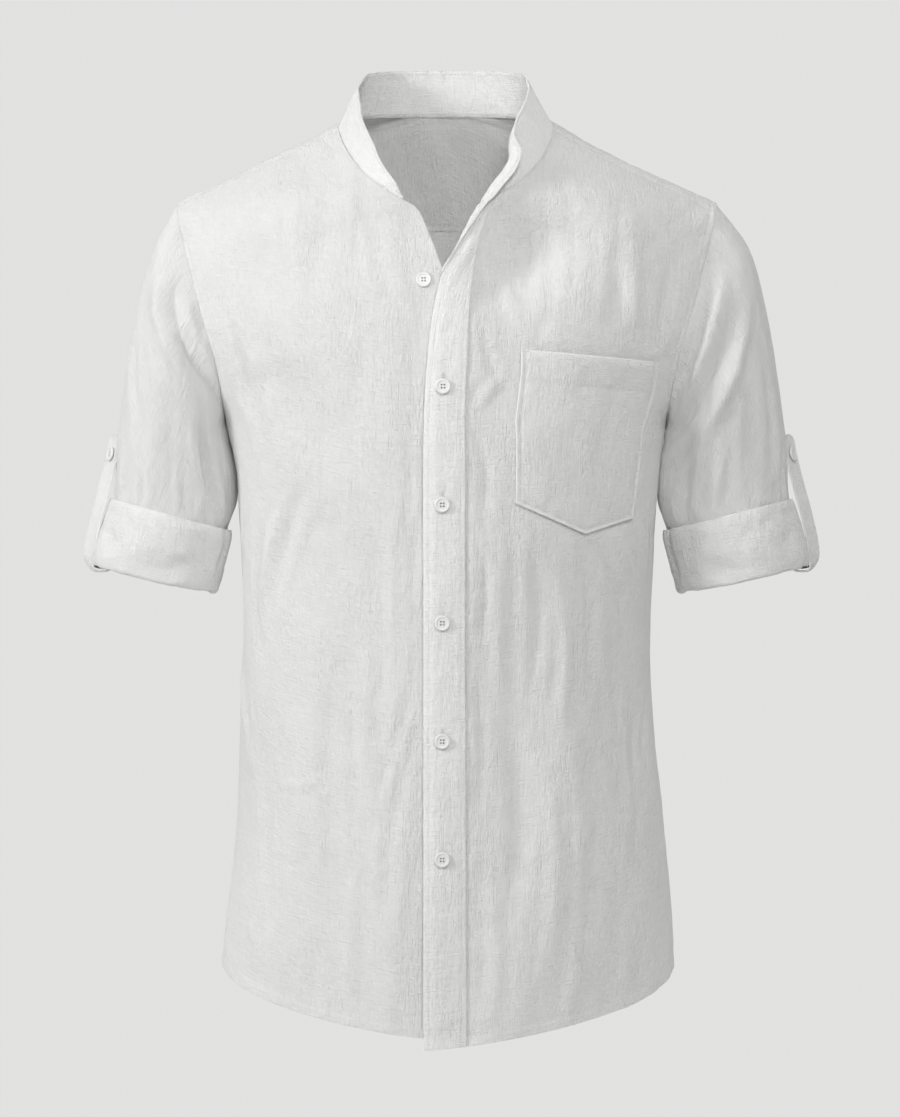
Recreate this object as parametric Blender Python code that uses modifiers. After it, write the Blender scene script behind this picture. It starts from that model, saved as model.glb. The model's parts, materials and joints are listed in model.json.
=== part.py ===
"""Mandarin collar shirt, worn and hollow, with its sleeves rolled up and held by tabs.

Sizes and places are in millimetres and are turned into metres when a mesh is made. +Z is up, the front
faces -Y and the wearer's left is +X. The origin is the middle of the neck, level with the shoulder points,
where the collar sits on whoever wears the shirt.
"""

from collections import namedtuple
from math import ceil, cos, pi, radians, sin

import bmesh
import bpy
import numpy as np
from mathutils import Vector

MM = 0.001
GARMENT = "mandarin_collar_shirt"

# Driving sizes
WALL = 1.4  # one layer of cloth
BAND_WALL = 2.0  # the collar's two layers
PLACKET_WALL = 1.6
LAYER_GAP = 0.5  # between a piece and the cloth that it lies on
POCKET_GAP = 1.0  # the pocket's own, as its facets lie across the panel's
SEAM_GAP = 0.3  # half of the space left between two pieces that are sewn edge to edge
SHOULDER_GAP = 0.5  # the same where the yoke meets the fronts and back, as the walls lean together there
SLEEVE_SET = 1.5  # how far outside the armhole line the sleeve head starts
PANEL_COLUMNS = 10  # steps across half of the body, alike in each panel so that their seams match
ROW_STEP = 30.0  # spacing of the rows of points below the arms
ARMHOLE_STEP = 15.0  # and beside the armhole, which bends more tightly
SLEEVE_COUNT = 24  # steps round a sleeve

UNDERLAP_EDGE = -10.0  # the right front's edge, this far past the middle under the placket
UNDERLAP_DIP = 3.0  # how far it dips there to pass under it
UNDERLAP_FLAT = 18.0  # it dips fully as far from the middle as this
UNDERLAP_END = 48.0  # and not at all from here on
RIGHT_HEM_RISE = 0.08  # in rows: the right front ends this much above the left one
PLACKET_TOP_ROW = "collar_end"

BUTTON_RADIUS = 6.0
BUTTON_HEIGHT = 2.4
BUTTON_SEGMENTS = 16
PLACKET_BUTTON_X = -3.1  # of the others, on the placket
FIRST_BUTTON_OUT = 17.5  # the open one, on the right front: its distance from the middle
FIRST_BUTTON_Z = -133.5
SECOND_BUTTON_Z = -218.0
BUTTON_PITCH = 91.6
PLACKET_BUTTONS = 5

CUFF_HEIGHT = 53.0
SLEEVE_IN_CUFF = 48.0  # how far the sleeve runs down inside its turned-up end
TAB_WIDTH = 25.0
TAB_WALL = 1.6
TAB_BUTTON_Z = -266.0

# Half of the torso as rows of cloth, from the front hem up the chest, over the shoulder and down the back.
# Each row runs from its inner edge (front edge, neckline or centre back) to its outer edge (side seam or
# armhole) as part of an ellipse. x is counted from the middle, and x1 differs between the wearer's right and
# left. arc: how far round the ellipse it runs, in degrees. swell: how far its middle stands out to the
# front (-) or the back (+). fall: 1 drops evenly, more drops late.
TORSO_COLUMNS = ("x0", "y0", "z0", "x1_right", "x1_left", "y1", "z1", "arc", "swell", "fall")
TORSO_ROWS = {
    "front_hem": (-17.5, -126, -733, 181, 184, 0, -677, 90, 0, 1.3),
    "front_tail": (-17.5, -128, -664, 177, 182.5, 0, -640, 90, 0, 1.2),
    "front_hip": (-17.5, -130, -576, 169.5, 175.5, 0, -565, 90, 0, 1.0),
    "front_waist": (-17.5, -130, -488, 166.5, 167.5, 0, -480, 90, 0, 1.0),
    "front_waist_high": (-17.5, -130.5, -408, 163.5, 165, 0, -405, 90, 0, 1.0),
    "front_rib": (-17.5, -131, -328, 166.5, 168.5, 0, -325, 90, 0, 1.0),
    "front_rib_high": (-18, -131.5, -275, 169, 172, 0, -280, 90, 0, 1.0),
    "front_underarm": (-18, -131, -234, 177, 177, 0, -245, 90, 0, 1.0),
    "front_armpit": (-16, -129, -203, 178.5, 178.5, -31, -229, 82, -3, 1.0),
    "front_chest": (-13, -125.5, -175, 181, 181, -45, -210, 76, -4, 1.0),
    "front_chest_high": (-8, -121, -148, 184.5, 184.5, -51, -193, 70, -5, 1.0),
    "v_bottom": (-3, -117, -129, 188.5, 188.5, -53, -178, 66, -6, 1.0),
    "v_low": (6, -112, -112, 192.5, 192.5, -52, -165, 62, -6, 1.0),
    "v_mid": (13, -107, -97, 196, 196, -50, -153, 59, -6, 1.0),
    "collar_corner": (22, -101.5, -77, 199.5, 199.5, -47.5, -140, 56, -6, 1.0),
    "collar_end": (34, -98, -69, 203, 203, -44, -126, 53, -6, 1.0),
    "neck_front": (54, -88, -57, 207, 207, -39, -112, 50, -6, 1.0),
    "neck_side": (68, -70, -44, 211, 211, -33, -96, 46, -6, 1.0),
    "neck_slope": (80, -45, -26, 215, 215, -29, -81, 42, -4, 0.95),
    "front_seam": (87, -17, -6, 217, 217.5, -17, -68, 40, -2, 0.9),
    "ridge": (85, 2, 2.5, 217.5, 219, 2, -63.5, 40, 0, 0.88),
    "back_slope": (83, 22, 7, 217, 217.5, 15, -66.5, 42, 4, 0.92),
    "neck_back_side": (72, 46, 13, 216, 216, 26, -71, 46, 8, 1.0),
    "neck_back": (42, 68.5, 16.6, 214, 214, 36, -78, 50, 11, 1.15),
    "neck_centre": (0, 72, 17, 212, 212, 43, -86, 56, 12, 1.3),
    "yoke_middle": (0, 92, -28, 209.5, 209.5, 50, -97, 60, 8, 1.4),
    "back_seam": (0, 108, -77, 206, 206, 55, -110, 64, 4, 1.6),
    "back_blade": (0, 118, -130, 198, 198, 58, -140, 70, 2, 1.6),
    "back_chest": (0, 123, -180, 188, 188, 56, -182, 76, 0, 1.6),
    "back_armpit": (0, 125, -218, 181, 181, 38, -222, 83, 0, 1.3),
    "back_underarm": (0, 125, -250, 177, 177, 0, -245, 90, 0, 1.0),
    "back_rib_high": (0, 124.5, -281, 169, 172, 0, -280, 90, 0, 1.0),
    "back_rib": (0, 124, -325, 166.5, 168.5, 0, -325, 90, 0, 1.0),
    "back_waist_high": (0, 121, -405, 163.5, 165, 0, -405, 90, 0, 1.0),
    "back_waist": (0, 120, -484, 166.5, 167.5, 0, -480, 90, 0, 1.0),
    "back_hip": (0, 123, -574, 169.5, 175.5, 0, -565, 90, 0, 1.0),
    "back_tail": (0, 126, -664, 177, 182.5, 0, -640, 90, 0, 1.2),
    "back_hem": (0, 126, -738, 181, 184, 0, -677, 90, 0, 1.6),
}
CORNER_ROWS = ("front_underarm", "neck_centre", "back_underarm")  # where an edge turns sharply

# The seam that joins the placket to the left front, as its distance from the middle at some of the rows.
PLACKET_SEAM = {
    "front_hem": 15.5,
    "front_waist_high": 14.5,
    "front_armpit": 14.5,
    "front_chest_high": 18.0,
    "v_low": 22.5,
    "v_mid": 26.0,
    "collar_corner": 33.0,
    "collar_end": 38.0,
}

# The collar stands on the neckline rows. For the wearer's right and left, lean: how far it leans inside the
# seam, height: how far it rises, roll: how much cloth above that turns outward and down again.
COLLAR_COLUMNS = ("lean_right", "height_right", "roll_right", "lean_left", "height_left", "roll_left")
COLLAR_ROWS = {
    "collar_end": (1, 5, 0, 1, 3, 14),
    "neck_front": (5, 17, 0, 6, 16, 14),
    "neck_side": (9, 26, 0, 18, 20, 10),
    "neck_slope": (13, 28.5, 0, 20.5, 28, 3),
    "front_seam": (16, 30.5, 0, 20.5, 31, 0),
    "ridge": (15, 31.5, 0, 18.5, 31.5, 0),
    "back_slope": (15, 32.5, 0, 17, 32.5, 0),
    "neck_back_side": (10, 33.5, 0, 11, 33.5, 0),
    "neck_back": (2, 35, 0, 3, 35, 0),
    "neck_centre": (-3, 36, 0, -3, 36, 0),
}
ROLL_RADIUS = 5.5
ROLL_LIMIT = 2.3  # radians: past this the rolled cloth hangs straight
ROLL_TOWARD = (0.92, -0.39, 0.0)  # the rolled cloth lies over toward the shoulder
LEAST_ROLL = 0.6  # keeps the collar's last rows of points apart where nothing rolls
COLLAR_STEPS = 18  # places along each half
COLLAR_RISE_POINTS = (0.0, 0.35, 0.7, 1.0)  # shares of the height
COLLAR_ROLL_POINTS = (0.33, 0.67, 1.0)  # shares of the roll

# The sleeve as rings from the armhole to the turned-up end. A ring is an ellipse from its inner point,
# beside the body, to its outer point. middle and depth: its centre and half size from front to back.
SLEEVE_COLUMNS = ("inner_x", "inner_z", "outer_x", "outer_z", "middle", "depth")
SLEEVE_RINGS = {
    "head": (178.8, -259, 236.5, -101, 4, 63),
    "biceps": (176.6, -273, 250.5, -152, 8, 66),
    "elbow": (174.2, -288, 260, -205, 11, 64),
    "forearm": (173.6, -306, 267, -256, 13, 60),
    "cuff_top": (177.8, -328, 270, -303, 13, 56),
    "cuff_bottom": (188.5, -378, 284.5, -357, 13, 56),
}
SLEEVE_REACH = {"right": (0.0, 0.0), "left": (2.0, 9.0)}  # added to each ring's inner and outer x

# The turned-up end, cut through: how far outside the sleeve's face and how far below the cuff's top edge.
CUFF_SECTION = (
    (2.6, 0), (3.4, 10), (3.2, 40), (2.2, 51.5), (-1.0, 53.4), (-3.5, 50.5), (-3.5, 37), (-1.9, 37),
    (-1.9, 49.6), (0.5, 49.6), (0.6, 0),
)  # fmt: skip

# The tab from its free end down outside the cuff, under it and up inside the sleeve: x and z of its outer
# face on the wearer's right.
TAB_PATH = (
    (269.5, -250), (272, -266), (278, -287), (285.5, -311), (291, -334), (292.5, -350), (289.5, -360),
    (282.5, -362), (276, -360), (272.5, -350), (267, -328), (261.5, -300), (257.5, -270),
)  # fmt: skip

# The pocket's corners on the front, as x and z: the tip is the point of its lower edge.
POCKET = {
    "top_inner": (57.6, -188.7),
    "top_outer": (166.8, -195.6),
    "bottom_inner": (53.5, -308.0),
    "bottom_outer": (146.0, -319.0),
    "tip": (107.8, -331.6),
}
POCKET_COLUMNS = 10
POCKET_ROWS = 6

# The largest folds: soft ridges (+) and troughs (-) that run from a top to a bottom point. half_width is
# where the fold has almost died away.
Fold = namedtuple("Fold", "top_x top_z bottom_x bottom_z half_width height")
FOLD_FALL = 1.6  # how steeply a fold dies away to its sides
CALM_EDGE = 0.12  # folds fade out over this share of a row before its outer edge
FRONT_FOLDS = (
    Fold(-152, -215, -96, -325, 38, 6.0),
    Fold(-128, -196, -78, -290, 30, -3.5),
    Fold(-60, -300, -76, -570, 42, -4.0),
    Fold(-104, -350, -118, -690, 48, 4.5),
    Fold(-46, -560, -40, -735, 36, 3.5),
    Fold(-146, -460, -152, -650, 38, -3.5),
    Fold(46, -350, 62, -610, 42, -4.0),
    Fold(94, -380, 104, -710, 48, 4.5),
    Fold(142, -360, 136, -560, 38, -3.5),
    Fold(40, -130, 74, -250, 34, -3.0),
    Fold(64, -600, 54, -735, 34, 3.0),
)
BACK_FOLDS = (
    Fold(-124, -140, -70, -310, 46, 5.0),
    Fold(116, -150, 64, -300, 44, 4.5),
    Fold(-30, -250, -46, -530, 48, -5.0),
    Fold(26, -320, 36, -660, 46, 4.5),
    Fold(-98, -370, -108, -690, 46, 4.5),
    Fold(92, -340, 100, -620, 46, -4.5),
    Fold(-8, -510, -16, -735, 42, -4.0),
)

# The look of each material: base colour and roughness.
LINEN = ("white_linen", (0.86, 0.86, 0.85, 1.0), 0.85)
LINEN_INSIDE = ("white_linen_band", (0.83, 0.83, 0.82, 1.0), 0.85)
SHELL_BUTTON = ("white_button", (0.90, 0.90, 0.89, 1.0), 0.30)

ROW_NUMBER = {name: i for i, name in enumerate(TORSO_ROWS)}
SIDE_SIGN = {"right": -1.0, "left": 1.0}
HALVINGS = 40  # of the span in which a row number is searched for
NUDGE = 0.01  # in rows and in shares of a row: the step that a surface's slope is read over


# --- Reading the tables -------------------------------------------------------------------------------


def smooth_row(rows, place, corners=()):
    """Reads a table between its rows along a smooth curve, which keeps a corner at the rows in corners."""
    rows = np.asarray(rows, dtype=float)
    last = len(rows) - 1
    i = min(int(place), last - 1)
    f = place - i
    here, there = rows[i], rows[i + 1]
    step = there - here
    leave = step if i == 0 or i in corners else (there - rows[i - 1]) / 2
    arrive = step if i + 1 == last or i + 1 in corners else (rows[i + 2] - here) / 2
    return (
        here * (2 * f**3 - 3 * f**2 + 1)
        + leave * (f**3 - 2 * f**2 + f)
        + there * (3 * f**2 - 2 * f**3)
        + arrive * (f**3 - f**2)
    )


def torso_row(side, place):
    """A row's inner point, outer point, arc, swell and fall, on the wearer's right or left."""
    corners = [ROW_NUMBER[name] for name in CORNER_ROWS]
    row = smooth_row(list(TORSO_ROWS.values()), place, corners)
    return np.delete(row, TORSO_COLUMNS.index("x1_left" if side == "right" else "x1_right"))


def places(first, last):
    """Row numbers from first to last, spaced by the longer of the two edges."""
    found = []
    armhole = range(ROW_NUMBER["front_underarm"], ROW_NUMBER["back_underarm"])
    ends = sorted({first, last, *range(ceil(first), int(last) + 1)})
    for low, high in zip(ends, ends[1:]):
        a, b = torso_row("left", low), torso_row("left", high)
        length = max(np.linalg.norm(a[:3] - b[:3]), np.linalg.norm(a[3:6] - b[3:6]))
        step = ARMHOLE_STEP if int(low) in armhole else ROW_STEP
        count = max(1, round(length / step))
        found += [low + (high - low) * k / count for k in range(count)]
    return found + [last]


# --- The torso's surface ------------------------------------------------------------------------------


def half_point(side, place, across):
    """A point of half the torso at a row and at 0 (inner edge) to 1 (outer edge), x counted outward."""
    x0, y0, z0, x1, y1, z1, arc, swell, fall = torso_row(side, place)
    arc = radians(arc)
    turn = arc * across
    return np.array((
        x0 + (x1 - x0) * sin(turn) / sin(arc),
        y0 + (y1 - y0) * (1 - cos(turn)) / (1 - cos(arc)) + swell * sin(pi * across) ** 2,
        z0 + (z1 - z0) * max(across, 0.0) ** fall,
    ))  # fmt: skip


def across_at(side, place, x):
    """The share of the row at which the half torso is x from the middle."""
    x0, _, _, x1, _, _, arc, _, _ = torso_row(side, place)
    arc = radians(arc)
    share = min(max((x - x0) / (x1 - x0) * sin(arc), 0.0), 1.0)
    return float(np.arcsin(share)) / arc


def fold_height(folds, x, z):
    """How far the folds push the cloth out at a place seen from the front."""
    total = 0.0
    for fold in folds:
        run = np.array((fold.bottom_x - fold.top_x, fold.bottom_z - fold.top_z))
        reach = np.array((x - fold.top_x, z - fold.top_z))
        along = float(reach @ run / (run @ run))
        if not 0.0 < along < 1.0:
            continue
        aside = float(np.linalg.norm(reach - along * run))
        total += fold.height * sin(pi * along) * np.exp(-((FOLD_FALL * aside / fold.half_width) ** 2))
    return total


def underlap_dip(x):
    """How far the right front lies under the left one at a distance from the middle."""
    part = min(max((UNDERLAP_END - x) / (UNDERLAP_END - UNDERLAP_FLAT), 0.0), 1.0)
    return UNDERLAP_DIP * part**2 * (3 - 2 * part)


def torso_point(side, place, across, lift=0.0):
    """A point of the folded cloth, lift above it, with the direction that faces out there."""
    sign = SIDE_SIGN[side]
    base = half_point(side, place, across)
    along = half_point(side, min(place + NUDGE, len(TORSO_ROWS) - 1), across)
    along = along - half_point(side, max(place - NUDGE, 0), across)
    over = half_point(side, place, min(across + NUDGE, 1.0))
    over = over - half_point(side, place, max(across - NUDGE, 0.0))
    out = np.cross(over, along)
    if base[0] == 0.0:  # the two halves share the middle line
        out[0] = 0.0
    out /= np.linalg.norm(out)
    on_front = place < ROW_NUMBER["neck_slope"]
    if side == "right" and on_front:
        lift -= underlap_dip(base[0])
    mirror = np.array((sign, 1.0, 1.0))
    base, out = base * mirror, out * mirror
    folds = FRONT_FOLDS if on_front else BACK_FOLDS
    calm = min(1.0, (1.0 - across) / CALM_EDGE)
    return base + out * (lift + calm * fold_height(folds, base[0], base[2])), out


def front_point(side, x, z, lift=0.0):
    """The point of a front that is seen at x (counted outward) and z from the front."""
    low, high = 0.0, float(ROW_NUMBER["front_seam"])
    for _ in range(HALVINGS):
        middle = (low + high) / 2
        if half_point(side, middle, across_at(side, middle, x))[2] < z:
            low = middle
        else:
            high = middle
    return torso_point(side, low, across_at(side, low, x), lift)


# --- Making meshes ------------------------------------------------------------------------------------


def make_material(look):
    name, colour, roughness = look
    material = bpy.data.materials.get(name) or bpy.data.materials.new(name)
    material.use_nodes = True
    shader = material.node_tree.nodes["Principled BSDF"]
    shader.inputs["Base Color"].default_value = colour
    shader.inputs["Roughness"].default_value = roughness
    shader.inputs["Metallic"].default_value = 0.0
    return material


def make_object(name, mesh, look, garment):
    mesh.materials.append(make_material(look))
    mesh.shade_smooth()
    piece = bpy.data.objects.new(name, mesh)
    garment.objects.link(piece)
    return piece


def add_grid(shape, grid, flip, ring=False):
    """Adds a grid of points to a bmesh, as quads. ring joins its last column to its first."""
    points = [[shape.verts.new(Vector(p) * MM) for p in row] for row in grid]
    for row, below in zip(points, points[1:]):
        pairs = list(zip(range(len(row) - 1), range(1, len(row))))
        if ring:
            pairs.append((len(row) - 1, 0))
        for a, b in pairs:
            corners = (row[a], row[b], below[b], below[a])
            shape.faces.new(corners[::-1] if flip else corners)


def cloth(name, grids, wall, garment, look=LINEN, ring=False):
    """A wall of cloth whose outer face is made of one or more (grid, flip) that meet edge to edge."""
    shape = bmesh.new()
    for grid, flip in grids:
        add_grid(shape, grid, flip, ring)
    bmesh.ops.remove_doubles(shape, verts=shape.verts, dist=0.01 * MM)
    mesh = bpy.data.meshes.new(name)
    shape.to_mesh(mesh)
    shape.free()
    piece = make_object(name, mesh, look, garment)
    thickness = piece.modifiers.new("Cloth wall", "SOLIDIFY")
    thickness.thickness = wall * MM
    thickness.offset = -1.0
    return piece


def loop_body(name, sections, garment, look=LINEN):
    """A closed ring of closed sections, such as a turned-up cuff."""
    shape = bmesh.new()
    rings = [[shape.verts.new(Vector(p) * MM) for p in section] for section in sections]
    for ring, following in zip(rings, rings[1:] + rings[:1]):
        for i in range(len(ring)):
            j = (i + 1) % len(ring)
            shape.faces.new((ring[i], ring[j], following[j], following[i]))
    bmesh.ops.recalc_face_normals(shape, faces=shape.faces)
    mesh = bpy.data.meshes.new(name)
    shape.to_mesh(mesh)
    shape.free()
    return make_object(name, mesh, look, garment)


def torso_grid(side, first, last, inner, outer, columns=PANEL_COLUMNS, lift=0.0):
    """Points of one half between two rows. inner and outer give each row's share to start and end at."""
    grid = []
    for place in places(first, last):
        start, end = inner(place), outer(side, place)
        shares = [start + (end - start) * k / columns for k in range(columns + 1)]
        grid.append([torso_point(side, place, share, lift)[0] for share in shares])
    return grid


def row_length(side, place):
    points = [half_point(side, place, k / 12) for k in range(13)]
    return sum(np.linalg.norm(a - b) for a, b in zip(points, points[1:]))


def outer_edge(side, place):
    return 1.0 - SEAM_GAP / row_length(side, place)


# --- The pieces ---------------------------------------------------------------------------------------


def placket_seam(place):
    rows = [ROW_NUMBER[name] for name in PLACKET_SEAM]
    return float(np.interp(place, rows, list(PLACKET_SEAM.values())))


def row_gap(name, toward):
    """The row number a shoulder gap from a row, before it (-1) or after it (+1)."""
    number = ROW_NUMBER[name]
    near, far = torso_row("left", number), torso_row("left", number + toward * 0.5)
    step = np.linalg.norm(far[3:6] - near[3:6]) / 0.5
    return number + toward * SHOULDER_GAP / step


def make_fronts(garment):
    top = row_gap("front_seam", -1)

    def underlap(place):
        return across_at("right", place, max(torso_row("right", place)[0], UNDERLAP_EDGE))

    right = torso_grid("right", RIGHT_HEM_RISE, top, underlap, outer_edge)
    cloth("front_right", [(right, True)], WALL, garment)

    def beside_placket(place):
        edge = placket_seam(place) + SEAM_GAP if place <= ROW_NUMBER[PLACKET_TOP_ROW] else 0.0
        return across_at("left", place, max(torso_row("left", place)[0], edge))

    left = torso_grid("left", 0, top, beside_placket, outer_edge)
    cloth("front_left", [(left, False)], WALL, garment)


def make_placket(garment):
    def seam_edge(side, place):
        return across_at(side, place, placket_seam(place) - SEAM_GAP)

    lift = LAYER_GAP + PLACKET_WALL
    top = ROW_NUMBER[PLACKET_TOP_ROW]
    grid = torso_grid("left", 0, top, lambda place: 0.0, seam_edge, 3, lift)
    cloth("placket", [(grid, False)], PLACKET_WALL, garment, LINEN_INSIDE)


def make_back(garment):
    first, last = row_gap("back_seam", 1), len(TORSO_ROWS) - 1
    halves = [
        (torso_grid(side, first, last, lambda place: 0.0, outer_edge), flip)
        for side, flip in (("right", True), ("left", False))
    ]
    cloth("back", halves, WALL, garment)


def make_yoke(garment):
    first, last = row_gap("front_seam", 1), row_gap("back_seam", -1)
    halves = [
        (torso_grid(side, first, last, lambda place: 0.0, outer_edge), flip)
        for side, flip in (("right", True), ("left", False))
    ]
    cloth("yoke", halves, WALL, garment)


def neckline_place(share):
    """From 0 at the collar's front end to 1 at the centre back, as a torso row number."""
    first, last = ROW_NUMBER["collar_end"], ROW_NUMBER["neck_centre"]
    return first + (last - first) * share


def collar_section(side, share):
    """The collar's outer face at one place along the neckline, from the seam to the free edge."""
    place = neckline_place(share)
    seam = torso_row(side, place)[:3]
    ahead = torso_row(side, min(place + 0.1, ROW_NUMBER["neck_centre"]))[:3]
    behind = torso_row(side, max(place - 0.1, ROW_NUMBER["collar_end"]))[:3]
    run = ahead - behind
    inward = np.array((-run[1], run[0], 0.0)) / np.hypot(run[0], run[1])
    if share == 1.0:
        inward = np.array((0.0, -1.0, 0.0))
    up = np.array((0.0, 0.0, 1.0))
    rows = list(COLLAR_ROWS.values())
    first = COLLAR_COLUMNS.index(f"lean_{side}")
    lean, height, roll = smooth_row(rows, share * (len(rows) - 1))[first : first + 3]
    base = seam + up * 2 * SEAM_GAP
    rise = inward * lean + up * (height - 2 * SEAM_GAP)
    section = [base + rise * part for part in COLLAR_RISE_POINTS]
    along = rise / np.linalg.norm(rise)
    outward = np.array(ROLL_TOWARD)
    outward = outward - along * float(along @ outward)
    outward /= np.linalg.norm(outward)
    for part in COLLAR_ROLL_POINTS:
        turn = min(roll * part / ROLL_RADIUS, ROLL_LIMIT)
        hang = max(roll * part - ROLL_RADIUS * ROLL_LIMIT, 0.0)
        hang += part * LEAST_ROLL
        curl = along * sin(turn) + outward * (1 - cos(turn))
        ahead = along * cos(turn) + outward * sin(turn)
        section.append(section[len(COLLAR_RISE_POINTS) - 1] + curl * ROLL_RADIUS + ahead * hang)
    return [point * (SIDE_SIGN[side], 1.0, 1.0) for point in section]


def make_collar(garment):
    right = [collar_section("right", k / COLLAR_STEPS) for k in range(COLLAR_STEPS + 1)]
    left = [collar_section("left", k / COLLAR_STEPS) for k in range(COLLAR_STEPS - 1, -1, -1)]
    cloth("collar", [(right + left, False)], BAND_WALL, garment, LINEN_INSIDE)


def armhole_loop(side, count):
    """Points round the armhole line, from under the arm up the front, over the top and down the back."""
    ends = [ROW_NUMBER[name] for name in ("front_underarm", "ridge", "back_underarm")]
    loop = []
    for first, last in zip(ends, ends[1:]):
        fine = [first + (last - first) * k / 60 for k in range(61)]
        line = np.array([torso_row(side, place)[3:6] for place in fine])
        run = np.concatenate(([0.0], np.cumsum(np.linalg.norm(np.diff(line, axis=0), axis=1))))
        wanted = np.linspace(0.0, run[-1], count // 2 + 1)[:-1]
        loop += [np.array([np.interp(d, run, line[:, axis]) for axis in range(3)]) for d in wanted]
    shift = np.array((SLEEVE_SET, 0.0, 0.0))
    return [(point + shift) * (SIDE_SIGN[side], 1.0, 1.0) for point in loop]


def sleeve_ring(side, row, count, grow=0.0):
    """One ring of the sleeve, grow outside it, starting beside the body and going round by the front."""
    inner_x, inner_z, outer_x, outer_z, middle, depth = row
    inner_reach, outer_reach = SLEEVE_REACH[side]
    inner = np.array((inner_x + inner_reach, middle, inner_z))
    outer = np.array((outer_x + outer_reach, middle, outer_z))
    centre, half = (inner + outer) / 2, (outer - inner) / 2
    half *= 1 + grow / np.linalg.norm(half)
    ring = []
    for k in range(count):
        turn = 2 * pi * k / count
        point = centre - half * cos(turn) + np.array((0.0, -(depth + grow) * sin(turn), 0.0))
        ring.append(point * (SIDE_SIGN[side], 1.0, 1.0))
    return ring


def sleeve_level(side, level, grow=0.0):
    """The sleeve's ring at a level counted in table rows, where 0 is the armhole and 1 the head."""
    rings = [armhole_loop(side, SLEEVE_COUNT)]
    rings += [sleeve_ring(side, row, SLEEVE_COUNT, grow) for row in SLEEVE_RINGS.values()]
    return smooth_row(np.array(rings), level)


def make_sleeve(side, garment):
    ring_names = list(SLEEVE_RINGS)
    cuff_top = 1 + ring_names.index("cuff_top")
    end = cuff_top + SLEEVE_IN_CUFF / CUFF_HEIGHT
    levels = [0, 0.3, 0.65, 1, 1.5, 2, 2.5, 3, 3.5, 4, 4.5, cuff_top, end]
    grid = [sleeve_level(side, level) for level in levels]
    cloth(f"sleeve_{side}", [(grid, side == "left")], WALL, garment, ring=True)


def make_cuff(side, garment):
    cuff_top = 1 + list(SLEEVE_RINGS).index("cuff_top")
    lines = [
        sleeve_level(side, cuff_top + down / CUFF_HEIGHT, outside) for outside, down in CUFF_SECTION
    ]
    sections = [[line[k] for line in lines] for k in range(SLEEVE_COUNT)]
    loop_body(f"cuff_{side}", sections, garment, LINEN_INSIDE)


def tab_point(side, x, y, z):
    outer_reach = SLEEVE_REACH[side][1]
    return np.array(((x + outer_reach) * SIDE_SIGN[side], y, z))


def make_tab(side, garment):
    middle = SLEEVE_RINGS["cuff_top"][SLEEVE_COLUMNS.index("middle")]
    grid = []
    for k in range(2 * len(TAB_PATH) - 1):
        x, z = smooth_row(TAB_PATH, k / 2)
        grid.append([tab_point(side, x, middle + shift * TAB_WIDTH / 2, z) for shift in (-1, 0, 1)])
    cloth(f"tab_{side}", [(grid, side == "left")], TAB_WALL, garment, LINEN_INSIDE)


def make_pocket(garment):
    corner = {name: np.array(place) for name, place in POCKET.items()}
    tip_share = (corner["tip"] - corner["bottom_inner"])[0] / (
        corner["bottom_outer"] - corner["bottom_inner"]
    )[0]
    tip_column = round(tip_share * POCKET_COLUMNS)
    grid = []
    for j in range(POCKET_ROWS + 1):
        row = []
        for i in range(POCKET_COLUMNS + 1):
            top = corner["top_inner"] + (corner["top_outer"] - corner["top_inner"]) * i / POCKET_COLUMNS
            if i <= tip_column:
                start, end, part = corner["bottom_inner"], corner["tip"], i / tip_column
            else:
                start, end = corner["tip"], corner["bottom_outer"]
                part = (i - tip_column) / (POCKET_COLUMNS - tip_column)
            bottom = start + (end - start) * part
            x, z = top + (bottom - top) * j / POCKET_ROWS
            row.append(front_point("left", x, z, POCKET_GAP + WALL)[0])
        grid.append(row)
    cloth("pocket", [(grid, True)], WALL, garment)


def make_button(name, centre, out, garment):
    """A rimmed button, turned about its axis, with its back at centre and its face towards out."""
    rim, dish = BUTTON_RADIUS, BUTTON_RADIUS * 0.7
    profile = (
        (0.0, BUTTON_HEIGHT * 0.65),
        (dish, BUTTON_HEIGHT * 0.7),
        (rim * 0.85, BUTTON_HEIGHT),
        (rim, BUTTON_HEIGHT * 0.7),
        (rim * 0.9, 0.0),
        (0.0, 0.0),
    )
    mesh = bpy.data.meshes.new(name)
    points = [(radius * MM, 0.0, height * MM) for radius, height in profile]
    mesh.from_pydata(points, [(i, i + 1) for i in range(len(points) - 1)], [])
    button = make_object(name, mesh, SHELL_BUTTON, garment)
    turn = button.modifiers.new("Turned", "SCREW")
    turn.steps = turn.render_steps = BUTTON_SEGMENTS
    turn.use_merge_vertices = True
    turn.merge_threshold = 0.0001
    button.rotation_euler = Vector(out).to_track_quat("Z", "Y").to_euler()
    button.location = Vector(centre) * MM


def make_buttons(garment):
    centre, out = front_point("right", FIRST_BUTTON_OUT, FIRST_BUTTON_Z, LAYER_GAP)
    make_button("button_1", centre, out, garment)
    lift = 2 * LAYER_GAP + PLACKET_WALL
    for k in range(PLACKET_BUTTONS):
        z = SECOND_BUTTON_Z - k * BUTTON_PITCH
        centre, out = front_point("left", PLACKET_BUTTON_X, z, lift)
        make_button(f"button_{k + 2}", centre, out, garment)


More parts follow.
